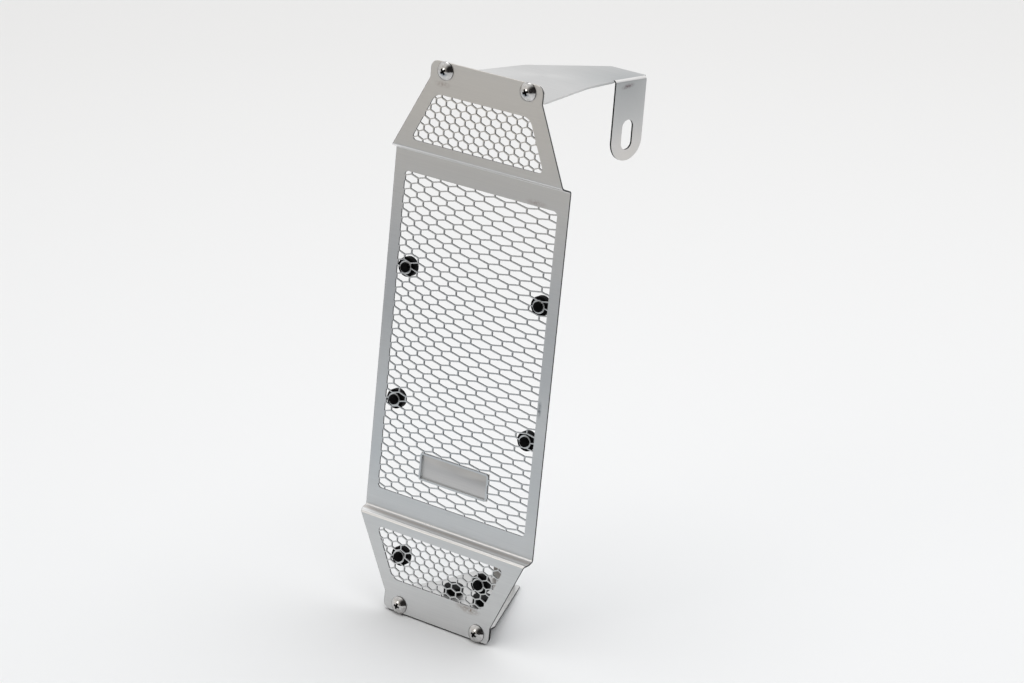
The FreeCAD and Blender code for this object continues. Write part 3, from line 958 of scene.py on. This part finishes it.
    def is_edge(self, face: bmesh.types.BMFace) -> bool:
        """Whether a face of the upright panel is a cut edge that is darkened, partly as painted shade; the top edge
        and the walls of the plate's frame keep the sheet's colour.
        """
        centre, normal = face.calc_center_median(), face.normal
        plate_z = self.middle_z - self.plate_drop
        if abs(centre.x) < self.plate_width / 2 - MM and abs(centre.z - plate_z) < self.plate_height / 2 - MM:
            return False
        if centre.z > self.height - self.rounded_edge:
            return False
        at_foot = centre.z < self.rounded_edge and abs(normal.z) > 0.3
        return abs(normal.y) < 0.15 or abs(normal.x) > 0.3 or at_foot

    def is_foot_edge(self, face: bmesh.types.BMFace) -> bool:
        """Whether a face lies in the strip along the foot, or is a cut edge beside the lower screws; both are painted
        near black as shade.
        """
        height = face.calc_center_median().z
        return height < self.foot_line or (height < self.lower_side and self.is_edge(face))

    def is_fold(self, face: bmesh.types.BMFace) -> bool:
        """Whether a face of the upright panel lies in one of its folds."""
        centre, normal = face.calc_center_median(), face.normal
        away = abs(abs(centre.z - self.middle_z) - self.middle_height / 2 - self.step_rise / 2)
        return away < 3 * MM and abs(normal.x) < 0.1 and 0.45 < abs(normal.y) < 0.96

    def dress(self, panel: bpy.types.Object) -> None:
        """Tie the panel to the frame."""
        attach(panel, "root")
        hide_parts("guard_panel")


@dataclass
class NamePlate:
    """The bare plate behind the framed opening."""

    panel: GuardPanel
    finish: BrushedSteel
    thickness: float = 1.0 * MM

    def build(self) -> bpy.types.Object:
        """Make the plate with softened edges.

        Returns:
            The plate.
        """
        x = self.panel.plate_width / 2
        z = self.panel.middle_z - self.panel.plate_drop
        up = self.panel.plate_height / 2
        plate = block("name_plate_bare", (-x, self.panel.sheet, z - up),
                      (x, self.panel.sheet + self.thickness, z + up))
        edit(plate, "EDGE")
        pick(plate, "edges", lambda edge: True)
        bpy.ops.mesh.bevel(offset=0.15 * MM, segments=2, affect="EDGES")
        close_edit()
        smooth(plate, 40)
        self.panel.stance.stand(plate)
        return plate

    def dress(self, plate: bpy.types.Object) -> None:
        """Give the plate its finish and tie it to the frame."""
        plate.data.materials.append(self.finish.make())
        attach(plate, "root")
        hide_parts("name_plate")


@dataclass
class Screws:
    """Cross-recess screws with wide domed heads, and their nuts."""

    stance: Stance
    places: dict[str, Point]
    finish: PolishedSteel
    nut_finish: PolishedSteel
    recess_shade: CutEdgeAndShade
    stack: float = 2.2 * MM
    head_radius: float = 5.9 * MM
    head_height: float = 3.2 * MM
    head_rim: float = 0.5 * MM
    shank: float = 2.45 * MM
    length: float = 8.0 * MM
    pitch: float = 0.8 * MM
    thread_depth: float = 0.38 * MM
    cross_width: float = 1.6 * MM
    cross_span: float = 6.0 * MM
    cross_depth: float = 2.1 * MM
    nut_flats: float = 8.0 * MM
    nut_height: float = 4.0 * MM

    def screw(self) -> bpy.types.Object:
        """Turn the screw out of a cylinder: domed head, shank and thread ridges.

        Returns:
            The screw on the Y axis, with its seat at y = 0.
        """
        bpy.ops.object.select_all(action="DESELECT")
        bpy.ops.mesh.primitive_uv_sphere_add(segments=64, ring_count=32, radius=1.0)
        head = bpy.context.object
        rise = self.head_height - self.head_rim
        dome = (self.head_radius ** 2 + rise ** 2) / (2 * rise)
        head.scale = (dome, dome, dome)
        head.rotation_euler = (math.pi / 2, 0, 0)
        head.location = (0, dome - self.head_height, 0)
        settle(head)
        named(head, "screw_head")
        edit(head, "FACE")
        bpy.ops.mesh.select_all(action="SELECT")
        bpy.ops.mesh.bisect(plane_co=(0, -self.head_rim, 0), plane_no=(0, 1, 0), clear_outer=True, use_fill=False)
        pick(head, "edges", lambda edge: edge.is_boundary)
        bpy.ops.mesh.extrude_edges_move(TRANSFORM_OT_translate={"value": (0, self.head_rim, 0)})
        bpy.ops.mesh.edge_face_add()
        bpy.ops.mesh.inset(thickness=self.head_radius - self.shank)
        bpy.ops.mesh.extrude_region_move(TRANSFORM_OT_translate={"value": (0, self.stack * 0.9, 0)})
        turns = int((self.length - self.stack * 0.9 - self.pitch) / self.pitch * 2)
        for index in range(turns):
            share = 1 - self.thread_depth / self.shank if index % 2 == 0 else 1 / (1 - self.thread_depth / self.shank)
            bpy.ops.mesh.extrude_region_move(TRANSFORM_OT_translate={"value": (0, self.pitch / 2, 0)})
            bpy.ops.transform.resize(value=(share, 1, share))
        bpy.ops.mesh.inset(thickness=0.4 * MM)
        bpy.ops.transform.translate(value=(0, 0.3 * MM, 0))
        close_edit()
        tidy_normals(head)
        self.cut_recess(head)
        self.soften_rim(head)
        paint_faces(head, self.finish.make(), (self.recess_shade.make(), self.in_painted_shade))
        smooth(head, 32)
        return head

    def in_painted_shade(self, face: bmesh.types.BMFace) -> bool:
        """Whether a face of a screw lies in its recess or in the gap below its rim, where it is painted near black as
        shade.
        """
        centre = face.calc_center_median()
        rise = self.head_height - self.head_rim
        dome = (self.head_radius ** 2 + rise ** 2) / (2 * rise)
        below_dome = (centre - Vector((0, dome - self.head_height, 0))).length < dome - 0.12 * MM
        in_recess = centre.xz.length < self.cross_span / 2 and centre.y < -self.head_rim and below_dome
        at_rim = centre.xz.length > self.head_radius - 0.4 * MM and centre.y > -self.head_rim * 0.75
        return in_recess or at_rim

    def soften_rim(self, head: bpy.types.Object) -> None:
        """Round the lower edge of the head a little."""
        edit(head, "EDGE")
        pick(head, "edges", lambda edge: all(
            abs(v.co.y) < 1e-6 and v.co.xz.length > self.head_radius * 0.98 for v in edge.verts
        ))
        bpy.ops.mesh.bevel(offset=0.15 * MM, segments=3, affect="EDGES")
        close_edit()

    def cut_recess(self, head: bpy.types.Object) -> None:
        """Cut the tapered cross recess into the head."""
        half = self.cross_width / 2
        top = -self.head_height - MM
        for turned in (False, True):
            reach = self.cross_span / 2
            low = (-half, top, -reach) if turned else (-reach, top, -half)
            high = (half, self.cross_depth - self.head_height, reach) if turned else (
                reach, self.cross_depth - self.head_height, half)
            blade = block("recess_blade", low, high)
            edit(blade, "FACE")
            pick(blade, "faces", lambda face: face.normal.y > 0.9)
            value = (0.75, 1, 0.3) if turned else (0.3, 1, 0.75)
            bpy.ops.transform.resize(value=value)
            close_edit()
            combine(head, blade, "DIFFERENCE")

    def nut(self) -> bpy.types.Object:
        """Make the chamfered hexagon nut.

        Returns:
            The nut on the Y axis, with its seat at y = 0.
        """
        corner = self.nut_flats / math.sqrt(3)
        nut = pin("nut", 6, corner, (0, 0, 0), self.nut_height)
        bpy.ops.object.select_all(action="DESELECT")
        bpy.ops.mesh.primitive_cone_add(
            vertices=64, radius1=corner + 3.6 * MM, radius2=corner - 0.35 * MM, depth=self.nut_height,
            location=(0, self.nut_height / 2, 0), rotation=(-math.pi / 2, 0, 0)
        )
        cone = bpy.context.object
        settle(cone)
        combine(nut, cone, "INTERSECT")
        combine(nut, pin("nut_bore", 48, self.shank + 0.03 * MM, (0, -MM, 0), self.nut_height + 2 * MM), "DIFFERENCE")
        edit(nut, "EDGE")
        pick(nut, "edges", lambda edge: all(v.co.xz.length < self.shank + 0.2 * MM for v in edge.verts)
             and abs(edge.verts[0].co.y - edge.verts[1].co.y) < 1e-6)
        bpy.ops.mesh.bevel(offset=0.35 * MM, segments=1, affect="EDGES")
        close_edit()
        smooth(nut, 28)
        return nut

    def build(self) -> dict[str, bpy.types.Object]:
        """Make every screw and nut from one of each.

        Returns:
            The pieces by the name of the node that each one replaces.
        """
        screw = self.screw()
        nut = self.nut()
        pieces = {}
        turn = 0.0
        for name, place in self.places.items():
            turn += 0.9
            for kind, first, back in (("screw_", screw, 0.0), ("nut_", nut, self.stack)):
                piece = duplicate(first, kind + name + "_fine", (0, 0, 0))
                piece.matrix_world = Matrix.Translation((place[0], place[1] + back, place[2])) @ Matrix.Rotation(
                    turn if kind == "screw_" else 0.5 * turn, 4, "Y")
                settle(piece)
                self.stance.stand(piece)
                pieces[kind + name] = piece
        for first in (screw, nut):
            bpy.data.objects.remove(first, do_unlink=True)
        return pieces

    def dress(self, pieces: dict[str, bpy.types.Object]) -> None:
        """Give the nuts their finish and tie screws and nuts to the frame."""
        nut_steel = self.nut_finish.make()
        for node, piece in pieces.items():
            if node.startswith("nut"):
                piece.data.materials.clear()
                piece.data.materials.append(nut_steel)
            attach(piece, "root")
            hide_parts(node)


@dataclass
class Bumpers:
    """Rubber bumpers: a disc behind the sheet with a nose that stands out in front."""

    stance: Stance
    places: dict[str, Point]
    base_places: dict[str, Point]
    finish: Rubber
    base_rise_deg: float = 0.65
    sheet: float = 1.0 * MM
    base_sheet: float = 1.2 * MM
    disc_radius: float = 6.4 * MM
    disc_height: float = 5.0 * MM
    disc_chamfer: float = 0.8 * MM
    shank: float = 3.3 * MM
    nose: float = 1.8 * MM

    def bumper(self, name: str, sheet: float) -> bpy.types.Object:
        """Shape one bumper out of a cylinder: nose, shank through the sheet and disc.

        Args:
            name: name of the bumper.
            sheet: thickness of the sheet that it sits in.

        Returns:
            The bumper on the Y axis, with the sheet's front at y = 0.
        """
        piece = pin(name, 48, self.shank, (0, -self.nose, 0), self.nose + sheet)
        edit(piece, "FACE")
        pick(piece, "faces", lambda face: face.normal.y > 0.9)
        bpy.ops.mesh.extrude_region_move(TRANSFORM_OT_translate={"value": (0, 0, 0)})
        bpy.ops.transform.resize(value=(self.disc_radius / self.shank, 1, self.disc_radius / self.shank))
        bpy.ops.mesh.extrude_region_move(TRANSFORM_OT_translate={"value": (0, self.disc_height, 0)})
        close_edit()
        edit(piece, "EDGE")
        end = sheet + self.disc_height
        pick(piece, "edges", lambda e: all(abs(v.co.y - end) < 1e-6 for v in e.verts))
        bpy.ops.mesh.bevel(offset=self.disc_chamfer, segments=4, affect="EDGES")
        pick(piece, "edges", lambda e: all(abs(v.co.y + self.nose) < 1e-6 for v in e.verts))
        bpy.ops.mesh.bevel(offset=0.9 * MM, segments=5, affect="EDGES")
        pick(piece, "edges", lambda e: all(
            abs(v.co.y - sheet) < 1e-6 and v.co.xz.length > self.disc_radius * 0.98 for v in e.verts))
        bpy.ops.mesh.bevel(offset=0.25 * MM, segments=2, affect="EDGES")
        close_edit()
        smooth(piece, 35)
        return piece

    def build(self) -> dict[str, bpy.types.Object]:
        """Make every bumper.

        Returns:
            The pieces by the name of the node that each one replaces.
        """
        first = self.bumper("bumper_first", self.sheet)
        pieces = {}
        for name, place in self.places.items():
            pieces[name] = duplicate(first, name + "_fine", place)
            self.stance.stand(pieces[name])
        bpy.data.objects.remove(first, do_unlink=True)
        first = self.bumper("bumper_first", self.base_sheet)
        for name, place in self.base_places.items():
            piece = duplicate(first, name + "_fine", (0, 0, 0))
            bottom = Vector((0, self.stance.pivot_y, place[2] + self.base_sheet))
            rise = Matrix.Translation(bottom) @ Matrix.Rotation(
                math.radians(self.base_rise_deg), 4, "X") @ Matrix.Translation(-bottom)
            piece.matrix_world = rise @ Matrix.Translation(place) @ Matrix.Rotation(math.pi / 2, 4, "X")
            settle(piece)
            self.stance.stand(piece)
            pieces[name] = piece
        bpy.data.objects.remove(first, do_unlink=True)
        return pieces

    def dress(self, pieces: dict[str, bpy.types.Object]) -> None:
        """Give the bumpers their rubber and tie them to the frame."""
        rubber = self.finish.make()
        for node, piece in pieces.items():
            piece.data.materials.clear()
            piece.data.materials.append(rubber)
            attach(piece, "root")
            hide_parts(node)


@dataclass
class Brackets:
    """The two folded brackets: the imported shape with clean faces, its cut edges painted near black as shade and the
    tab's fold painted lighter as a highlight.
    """

    stance: Stance
    upper: BrushedSteel
    lower: BrushedSteel
    fold_polish_highlight: BrushedSteel
    edge_tone_and_shade: CutEdgeAndShade
    flange_back: float = -4.8 * MM
    plate_start: float = -2.4 * MM
    tab_turn_deg: float = 12.6
    upper_tab_start: Point = (36.0 * MM, 68.0 * MM, 343.0 * MM)
    lower_tab_start: Point = (-60.0 * MM, 55.0 * MM, 14.5 * MM)

    def clean_copy(self, node: str) -> bpy.types.Object:
        """Copy a node's mesh onto the bench, with its loose triangles merged to whole faces.

        Args:
            node: name of the node.

        Returns:
            The copy, upright on the bench.
        """
        piece = duplicate(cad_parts[node], node + "_clean", (0, 0, 0))
        piece.matrix_world = self.stance.matrix().inverted()
        settle(piece)
        edit(piece)
        bpy.ops.mesh.select_all(action="SELECT")
        bpy.ops.mesh.remove_doubles(threshold=2e-6)
        bpy.ops.mesh.dissolve_limited(angle_limit=math.radians(0.5))
        close_edit()
        return piece

    def tab_fold(self, face: bmesh.types.BMFace) -> bool:
        """Whether a face lies in the fold of the upper bracket's tab."""
        centre, normal = face.calc_center_median(), face.normal
        return centre.x > self.upper_tab_start[0] and 0.45 < normal.z < 0.985 and normal.x > 0.1

    def upper_edge(self, face: bmesh.types.BMFace) -> bool:
        """Whether a face of the upper bracket is a cut edge, painted near black as shade."""
        centre, normal = face.calc_center_median(), face.normal
        turn = math.radians(self.tab_turn_deg)
        outward = Vector((math.cos(turn), -math.sin(turn), 0))
        along = Vector((math.sin(turn), math.cos(turn), 0))
        if centre.x > self.upper_tab_start[0] and centre.y > self.upper_tab_start[1]:
            if centre.z < self.upper_tab_start[2]:
                return abs(normal.dot(outward)) < 0.5
            return abs(normal.dot(along)) > 0.5
        return False

    def lower_edge(self, face: bmesh.types.BMFace) -> bool:
        """Whether a face of the lower bracket is a cut edge, painted near black as shade."""
        centre, normal = face.calc_center_median(), face.normal
        if centre.y < self.plate_start:
            return abs(normal.x) > 0.3 or (abs(normal.z) > 0.7 and centre.y < self.flange_back)
        if centre.y > self.lower_tab_start[1] and centre.z > self.lower_tab_start[2]:
            return abs(normal.y) < 0.5
        if centre.y > self.lower_tab_start[1] and abs(normal.x) < 0.1 and abs(normal.z) > 0.05:
            return False
        return abs(normal.z) < 0.5

    def build(self) -> dict[str, bpy.types.Object]:
        """Make both brackets.

        Returns:
            The pieces by the name of the node that each one replaces.
        """
        pieces = {}
        for node, finish, test in (
            ("upper_bracket", self.upper, self.upper_edge),
            ("lower_bracket", self.lower, self.lower_edge),
        ):
            piece = self.clean_copy(node)
            paint_faces(piece, finish.make(), (self.fold_polish_highlight.make(), self.tab_fold),
                        (self.edge_tone_and_shade.make(), test))
            smooth(piece, 30)
            even_normals(piece)
            self.stance.stand(piece)
            pieces[node] = piece
        return pieces

    def dress(self, pieces: dict[str, bpy.types.Object]) -> None:
        """Tie the brackets to the frame."""
        for node, piece in pieces.items():
            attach(piece, "root")
            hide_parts(node)


@dataclass
class Studio:
    """Pale floor, soft lights and the camera."""

    camera_place: Point = (1.0112, -1.4259, 1.0127)
    camera_forward: Point = (-0.5196, 0.7358, -0.4342)
    lens: float = 107.32
    floor_size: float = 14.0
    floor_colour: tuple[float, float, float] = (0.835, 0.833, 0.83)
    near_floor_painted_light: tuple[float, float, float] = (0.875, 0.883, 0.892)
    far_side: Point = (-0.577, 0.817, 0.0)
    card_painted_shade: tuple[float, float, float] = (0.235, 0.295, 0.365)
    card_centre: Point = (-0.56, -0.92, 0.004)
    card_reach: float = 0.80
    room_front: tuple[float, float, float] = (0.755, 0.715, 0.66)
    room_back: tuple[float, float, float] = (0.88, 0.885, 0.89)
    room_dark: tuple[float, float, float] = (0.03, 0.028, 0.027)
    dark_side: Point = (0.66, -0.66, 0.25)

    def floor(self) -> bpy.types.Object:
        """Lay the pale floor, painted lighter and bluer around the part and in front as painted light, and darker with
        faint clouds towards the back left.

        Returns:
            The floor.
        """
        bpy.ops.object.select_all(action="DESELECT")
        bpy.ops.mesh.primitive_plane_add(size=self.floor_size, location=(0, 0, 0))
        floor = named(bpy.context.object, "studio_floor")
        material, tree, shader = fresh_material("studio_floor")
        clouds = noise(tree, place_map(tree, (1, 1, 1)), 1.5, 3.0, 0.5)
        pale = tuple(value * 0.985 for value in self.floor_colour)
        reach = spread(tree, along(tree, place_map(tree, (1, 1, 1)), self.far_side), 0.0, 1.0, 0.0, 1.0)
        colour = blend(tree, reach, self.near_floor_painted_light, blend(tree, clouds, pale, self.floor_colour))
        tree.links.new(colour, shader.inputs["Base Color"])
        shader.inputs["Roughness"].default_value = 0.6
        shader.inputs["Specular IOR Level"].default_value = 0.2
        floor.data.materials.append(material)
        return floor

    def card(self) -> bpy.types.Object:
        """Lay the dim card in front, which is seen in the sheet's reflections alone: its colour is painted floor
        shade, darkest in its middle and fading to the floor's colour at its rim.

        Returns:
            The card.
        """
        bpy.ops.object.select_all(action="DESELECT")
        bpy.ops.mesh.primitive_plane_add(size=2 * self.card_reach, location=self.card_centre)
        card = named(bpy.context.object, "studio_shade_card")
        settle(card)
        material, tree, shader = fresh_material("studio_shade_card")
        scale = 1 / self.card_reach
        gradient = tree.nodes.new("ShaderNodeTexGradient")
        gradient.gradient_type = "SPHERICAL"
        tree.links.new(place_map(tree, (scale, scale, scale), tuple(-c * scale for c in self.card_centre)),
                       gradient.inputs["Vector"])
        share = spread(tree, gradient.outputs["Fac"], 0.0, 0.6, 0.0, 1.0)
        tree.links.new(blend(tree, share, self.near_floor_painted_light, self.card_painted_shade), shader.inputs["Base Color"])
        shader.inputs["Roughness"].default_value = 0.6
        shader.inputs["Specular IOR Level"].default_value = 0.2
        card.data.materials.append(material)
        card.visible_camera = card.visible_diffuse = card.visible_shadow = card.visible_transmission = False
        return card

    def softbox(self, name: str, place: Point, target: Point, size: tuple[float, float], power: float,
                colour: tuple[float, float, float]) -> bpy.types.Object:
        """Hang a soft light.

        Args:
            name: name of the light.
            place: where it hangs.
            target: what it points at.
            size: its width and height.
            power: its power in watts.
            colour: its colour.

        Returns:
            The light.
        """
        data = bpy.data.lights.new(name, "AREA")
        data.shape = "RECTANGLE"
        data.size, data.size_y = size
        data.energy = power
        data.color = colour
        light = bpy.data.objects.new(name, data)
        light.location = place
        aim = Vector(target) - Vector(place)
        light.rotation_euler = aim.to_track_quat("-Z", "Y").to_euler()
        bpy.context.scene.collection.objects.link(light)
        return light

    def world(self) -> None:
        """Surround the scene with pale light that is brightest behind and above the part."""
        world = bpy.data.worlds.new("studio_world")
        world.use_nodes = True
        tree = world.node_tree
        shader = tree.nodes["Background"]
        coordinates = tree.nodes.new("ShaderNodeTexCoord")
        colours = []
        for side, low, high in (((0.0, 0.85, 0.5), -0.7, 0.45), (self.dark_side, 0.42, 0.8)):
            reach = along(tree, coordinates.outputs["Generated"], side)
            colours.append(spread(tree, reach, low, high, 0.0, 1.0))
        pale = blend(tree, colours[0], self.room_front, self.room_back)
        tree.links.new(blend(tree, colours[1], pale, self.room_dark), shader.inputs["Color"])
        shader.inputs["Strength"].default_value = 1.0
        bpy.context.scene.world = world

    def camera(self) -> bpy.types.Object:
        """Set the camera at the photograph's viewing angle.

        Returns:
            The camera.
        """
        data = bpy.data.cameras.new("camera")
        data.lens = self.lens
        data.sensor_width = 36.0
        data.clip_end = 50.0
        camera = bpy.data.objects.new("camera", data)
        camera.location = self.camera_place
        camera.rotation_euler = Vector(self.camera_forward).to_track_quat("-Z", "Y").to_euler()
        bpy.context.scene.collection.objects.link(camera)
        bpy.context.scene.camera = camera
        return camera

    def build(self) -> None:
        """Set up floor, lights, surroundings and camera."""
        self.floor()
        self.card()
        middle = (0.0, 0.0, 0.18)
        self.softbox("overhead", (0.0, 0.5, 2.4), middle, (2.4, 2.0), 28.0, (1.0, 1.0, 1.0))
        self.softbox("front_left", (-1.2, -2.4, 1.15), middle, (0.6, 0.6), 3.5, (1.0, 0.99, 0.98))
        self.world()
        self.camera()
        bpy.context.scene.view_settings.view_transform = "Standard"


def main() -> None:
    """Build and dress every piece of the guard and set up the studio."""
    logging.basicConfig(level=logging.INFO, format="%(message)s")
    stance = Stance()
    edge_tone_and_shade = CutEdgeAndShade("laser_cut_edge_and_shade")
    # Near-black painted shade for the strip along the foot, the cut edges beside the lower screws and the brackets'
    # cut edges.
    shaded_edge = CutEdgeAndShade("shaded_cut_edge", light=(0.02, 0.021, 0.023), dark=(0.008, 0.008, 0.009))
    brown = (0.24, 0.185, 0.15)
    marks = (
        # The first two marks are painted reflection tones: warmer over the upper part of the sheet, bluer over its
        # lower part.
        Mark(stance.place(0.0, -3.0, 338.0), (0.4, 0.4, 95 * MM), (0.68, 0.633, 0.565), 0.55, ragged=False),
        Mark(stance.place(0.0, -3.0, 105.0), (0.4, 0.4, 120 * MM), (0.615, 0.668, 0.70), 0.5, ragged=False),
        Mark(stance.place(27.0, -6.5, 19.5), (9 * MM, 12 * MM, 3.2 * MM), brown, 1.0),
        Mark(stance.place(20.5, -6.5, 20.5), (6 * MM, 12 * MM, 3.0 * MM), brown, 0.7),
        Mark(stance.place(59.2, 0.5, 161.8), (1.8 * MM, 12 * MM, 6.5 * MM), (0.11, 0.13, 0.15), 1.0),
        Mark(stance.place(41.6, 0.5, 290.2), (9 * MM, 12 * MM, 2.4 * MM), (0.34, 0.24, 0.22), 0.6),
        Mark(stance.place(-30.0, -6.5, 350.0), (7 * MM, 12 * MM, 2.4 * MM), (0.34, 0.27, 0.24), 0.7),
        # These three marks are painted reflections on the lower fold's step: a brown band, a light stripe and a brown
        # line.
        Mark(stance.place(0.0, -2.4, 62.0), (0.4, 2.2 * MM, 8 * MM), (0.42, 0.365, 0.335), 0.8, ragged=False),
        Mark(stance.place(0.0, -4.6, 61.2), (0.4, 1.0 * MM, 8 * MM), (0.85, 0.84, 0.83), 0.6, ragged=False),
        Mark(stance.place(0.0, -5.9, 60.8), (0.4, 0.8 * MM, 8 * MM), (0.38, 0.33, 0.31), 0.8, ragged=False),
    )
    # Lighter, smoother metal on the folds: partly the polish of bending, partly a painted highlight along the bends of
    # the sheet and the upper bracket's tab.
    fold_polish_highlight = BrushedSteel("fold_polished_highlight", light=(0.78, 0.77, 0.76), dark=(0.74, 0.73, 0.72), roughness=0.3)
    panel = GuardPanel(stance, BrushedSteel("guard_panel_brushed", marks=marks), fold_polish_highlight, edge_tone_and_shade,
                       shaded_edge)
    end_y = -panel.step_depth
    screws = {}
    bumpers = {}
    for side, x in (("left", -1), ("right", 1)):
        screws["upper_" + side] = ((1.8 + x * 30.6) * MM, end_y, panel.height - 5.5 * MM)
        screws["lower_" + side] = ((3.0 + x * 30.6) * MM, end_y, 5.5 * MM)
        bumpers["bumper_upper_" + side] = (x * 50.8 * MM, 0.0, panel.middle_z + 44.0 * MM)
        bumpers["bumper_lower_" + side] = (x * 50.8 * MM, 0.0, panel.middle_z - 44.0 * MM)
        bumpers["bumper_foot_" + side] = (x * 31.4 * MM, end_y, panel.middle_z - 144.4 * MM)
    panel.bumpers = list(bumpers.values())
    panel.screws = list(screws.values())
    sheet = panel.build()
    panel.dress(sheet)
    LOG.info("guard panel: %d faces", len(sheet.data.polygons))
    plate_finish = BrushedSteel("name_plate_brushed", light=(0.60, 0.595, 0.59), dark=(0.54, 0.535, 0.53))
    name_plate = NamePlate(panel, plate_finish)
    plate = name_plate.build()
    name_plate.dress(plate)
    LOG.info("name plate: %d faces", len(plate.data.polygons))
    # Near-black painted shade in the screws' cross recesses and in the gap under their rims.
    recess = CutEdgeAndShade("screw_recess_painted_shade", light=(0.012, 0.012, 0.013), dark=(0.004, 0.004, 0.005), roughness=0.8,
                     metallic=0.0)
    nut_steel = PolishedSteel("nut_steel", roughness=0.24)
    screw_set = Screws(stance, screws, PolishedSteel("screw_polished"), nut_steel, recess)
    pieces = screw_set.build()
    screw_set.dress(pieces)
    LOG.info("screws and nuts: %d", len(pieces))
    base_y = -6.0 * MM + 1.2 * MM + 28.0 * MM
    base_places = {
        "bumper_base_left": (-6.8 * MM, base_y, 10.6 * MM),
        "bumper_base_right": (16.2 * MM, base_y, 10.6 * MM),
    }
    bumper_set = Bumpers(stance, bumpers, base_places, Rubber("bumper_rubber_matt"))
    pieces = bumper_set.build()
    bumper_set.dress(pieces)
    LOG.info("bumpers: %d", len(pieces))
    tab_marks = (
        # The first tab mark is painted shade over the tab and its fold; the second is a warm painted reflection
        # towards the tab's end; the third is a real reddish stain below the fold.
        Mark((0.0462, 0.0657, 0.340), (0.05, 0.05, 0.045), (0.38, 0.395, 0.40), 0.9, ragged=False),
        Mark((0.0455, 0.0640, 0.288), (0.03, 0.03, 0.022), (0.72, 0.68, 0.64), 0.6, ragged=False),
        Mark((0.0461, 0.0657, 0.3330), (6 * MM, 6.5 * MM, 2.0 * MM), (0.12, 0.07, 0.075), 1.0),
    )
    upper_finish = BrushedSteel("upper_bracket_brushed", marks=tab_marks)
    # Brown painted shade on the lower bracket behind the foot, where the sheet shades it.
    rear_painted_shade = Mark((0.0, -0.009, 0.012), (14 * MM, 10 * MM, 14 * MM), (0.20, 0.165, 0.14), 1.0, ragged=False)
    lower_finish = BrushedSteel("lower_bracket_brushed", marks=(rear_painted_shade,))
    brackets = Brackets(stance, upper_finish, lower_finish, fold_polish_highlight, shaded_edge)
    pieces = brackets.build()
    brackets.dress(pieces)
    LOG.info("brackets: %d", len(pieces))
    Studio().build()


if __name__ == "__main__":
    main()
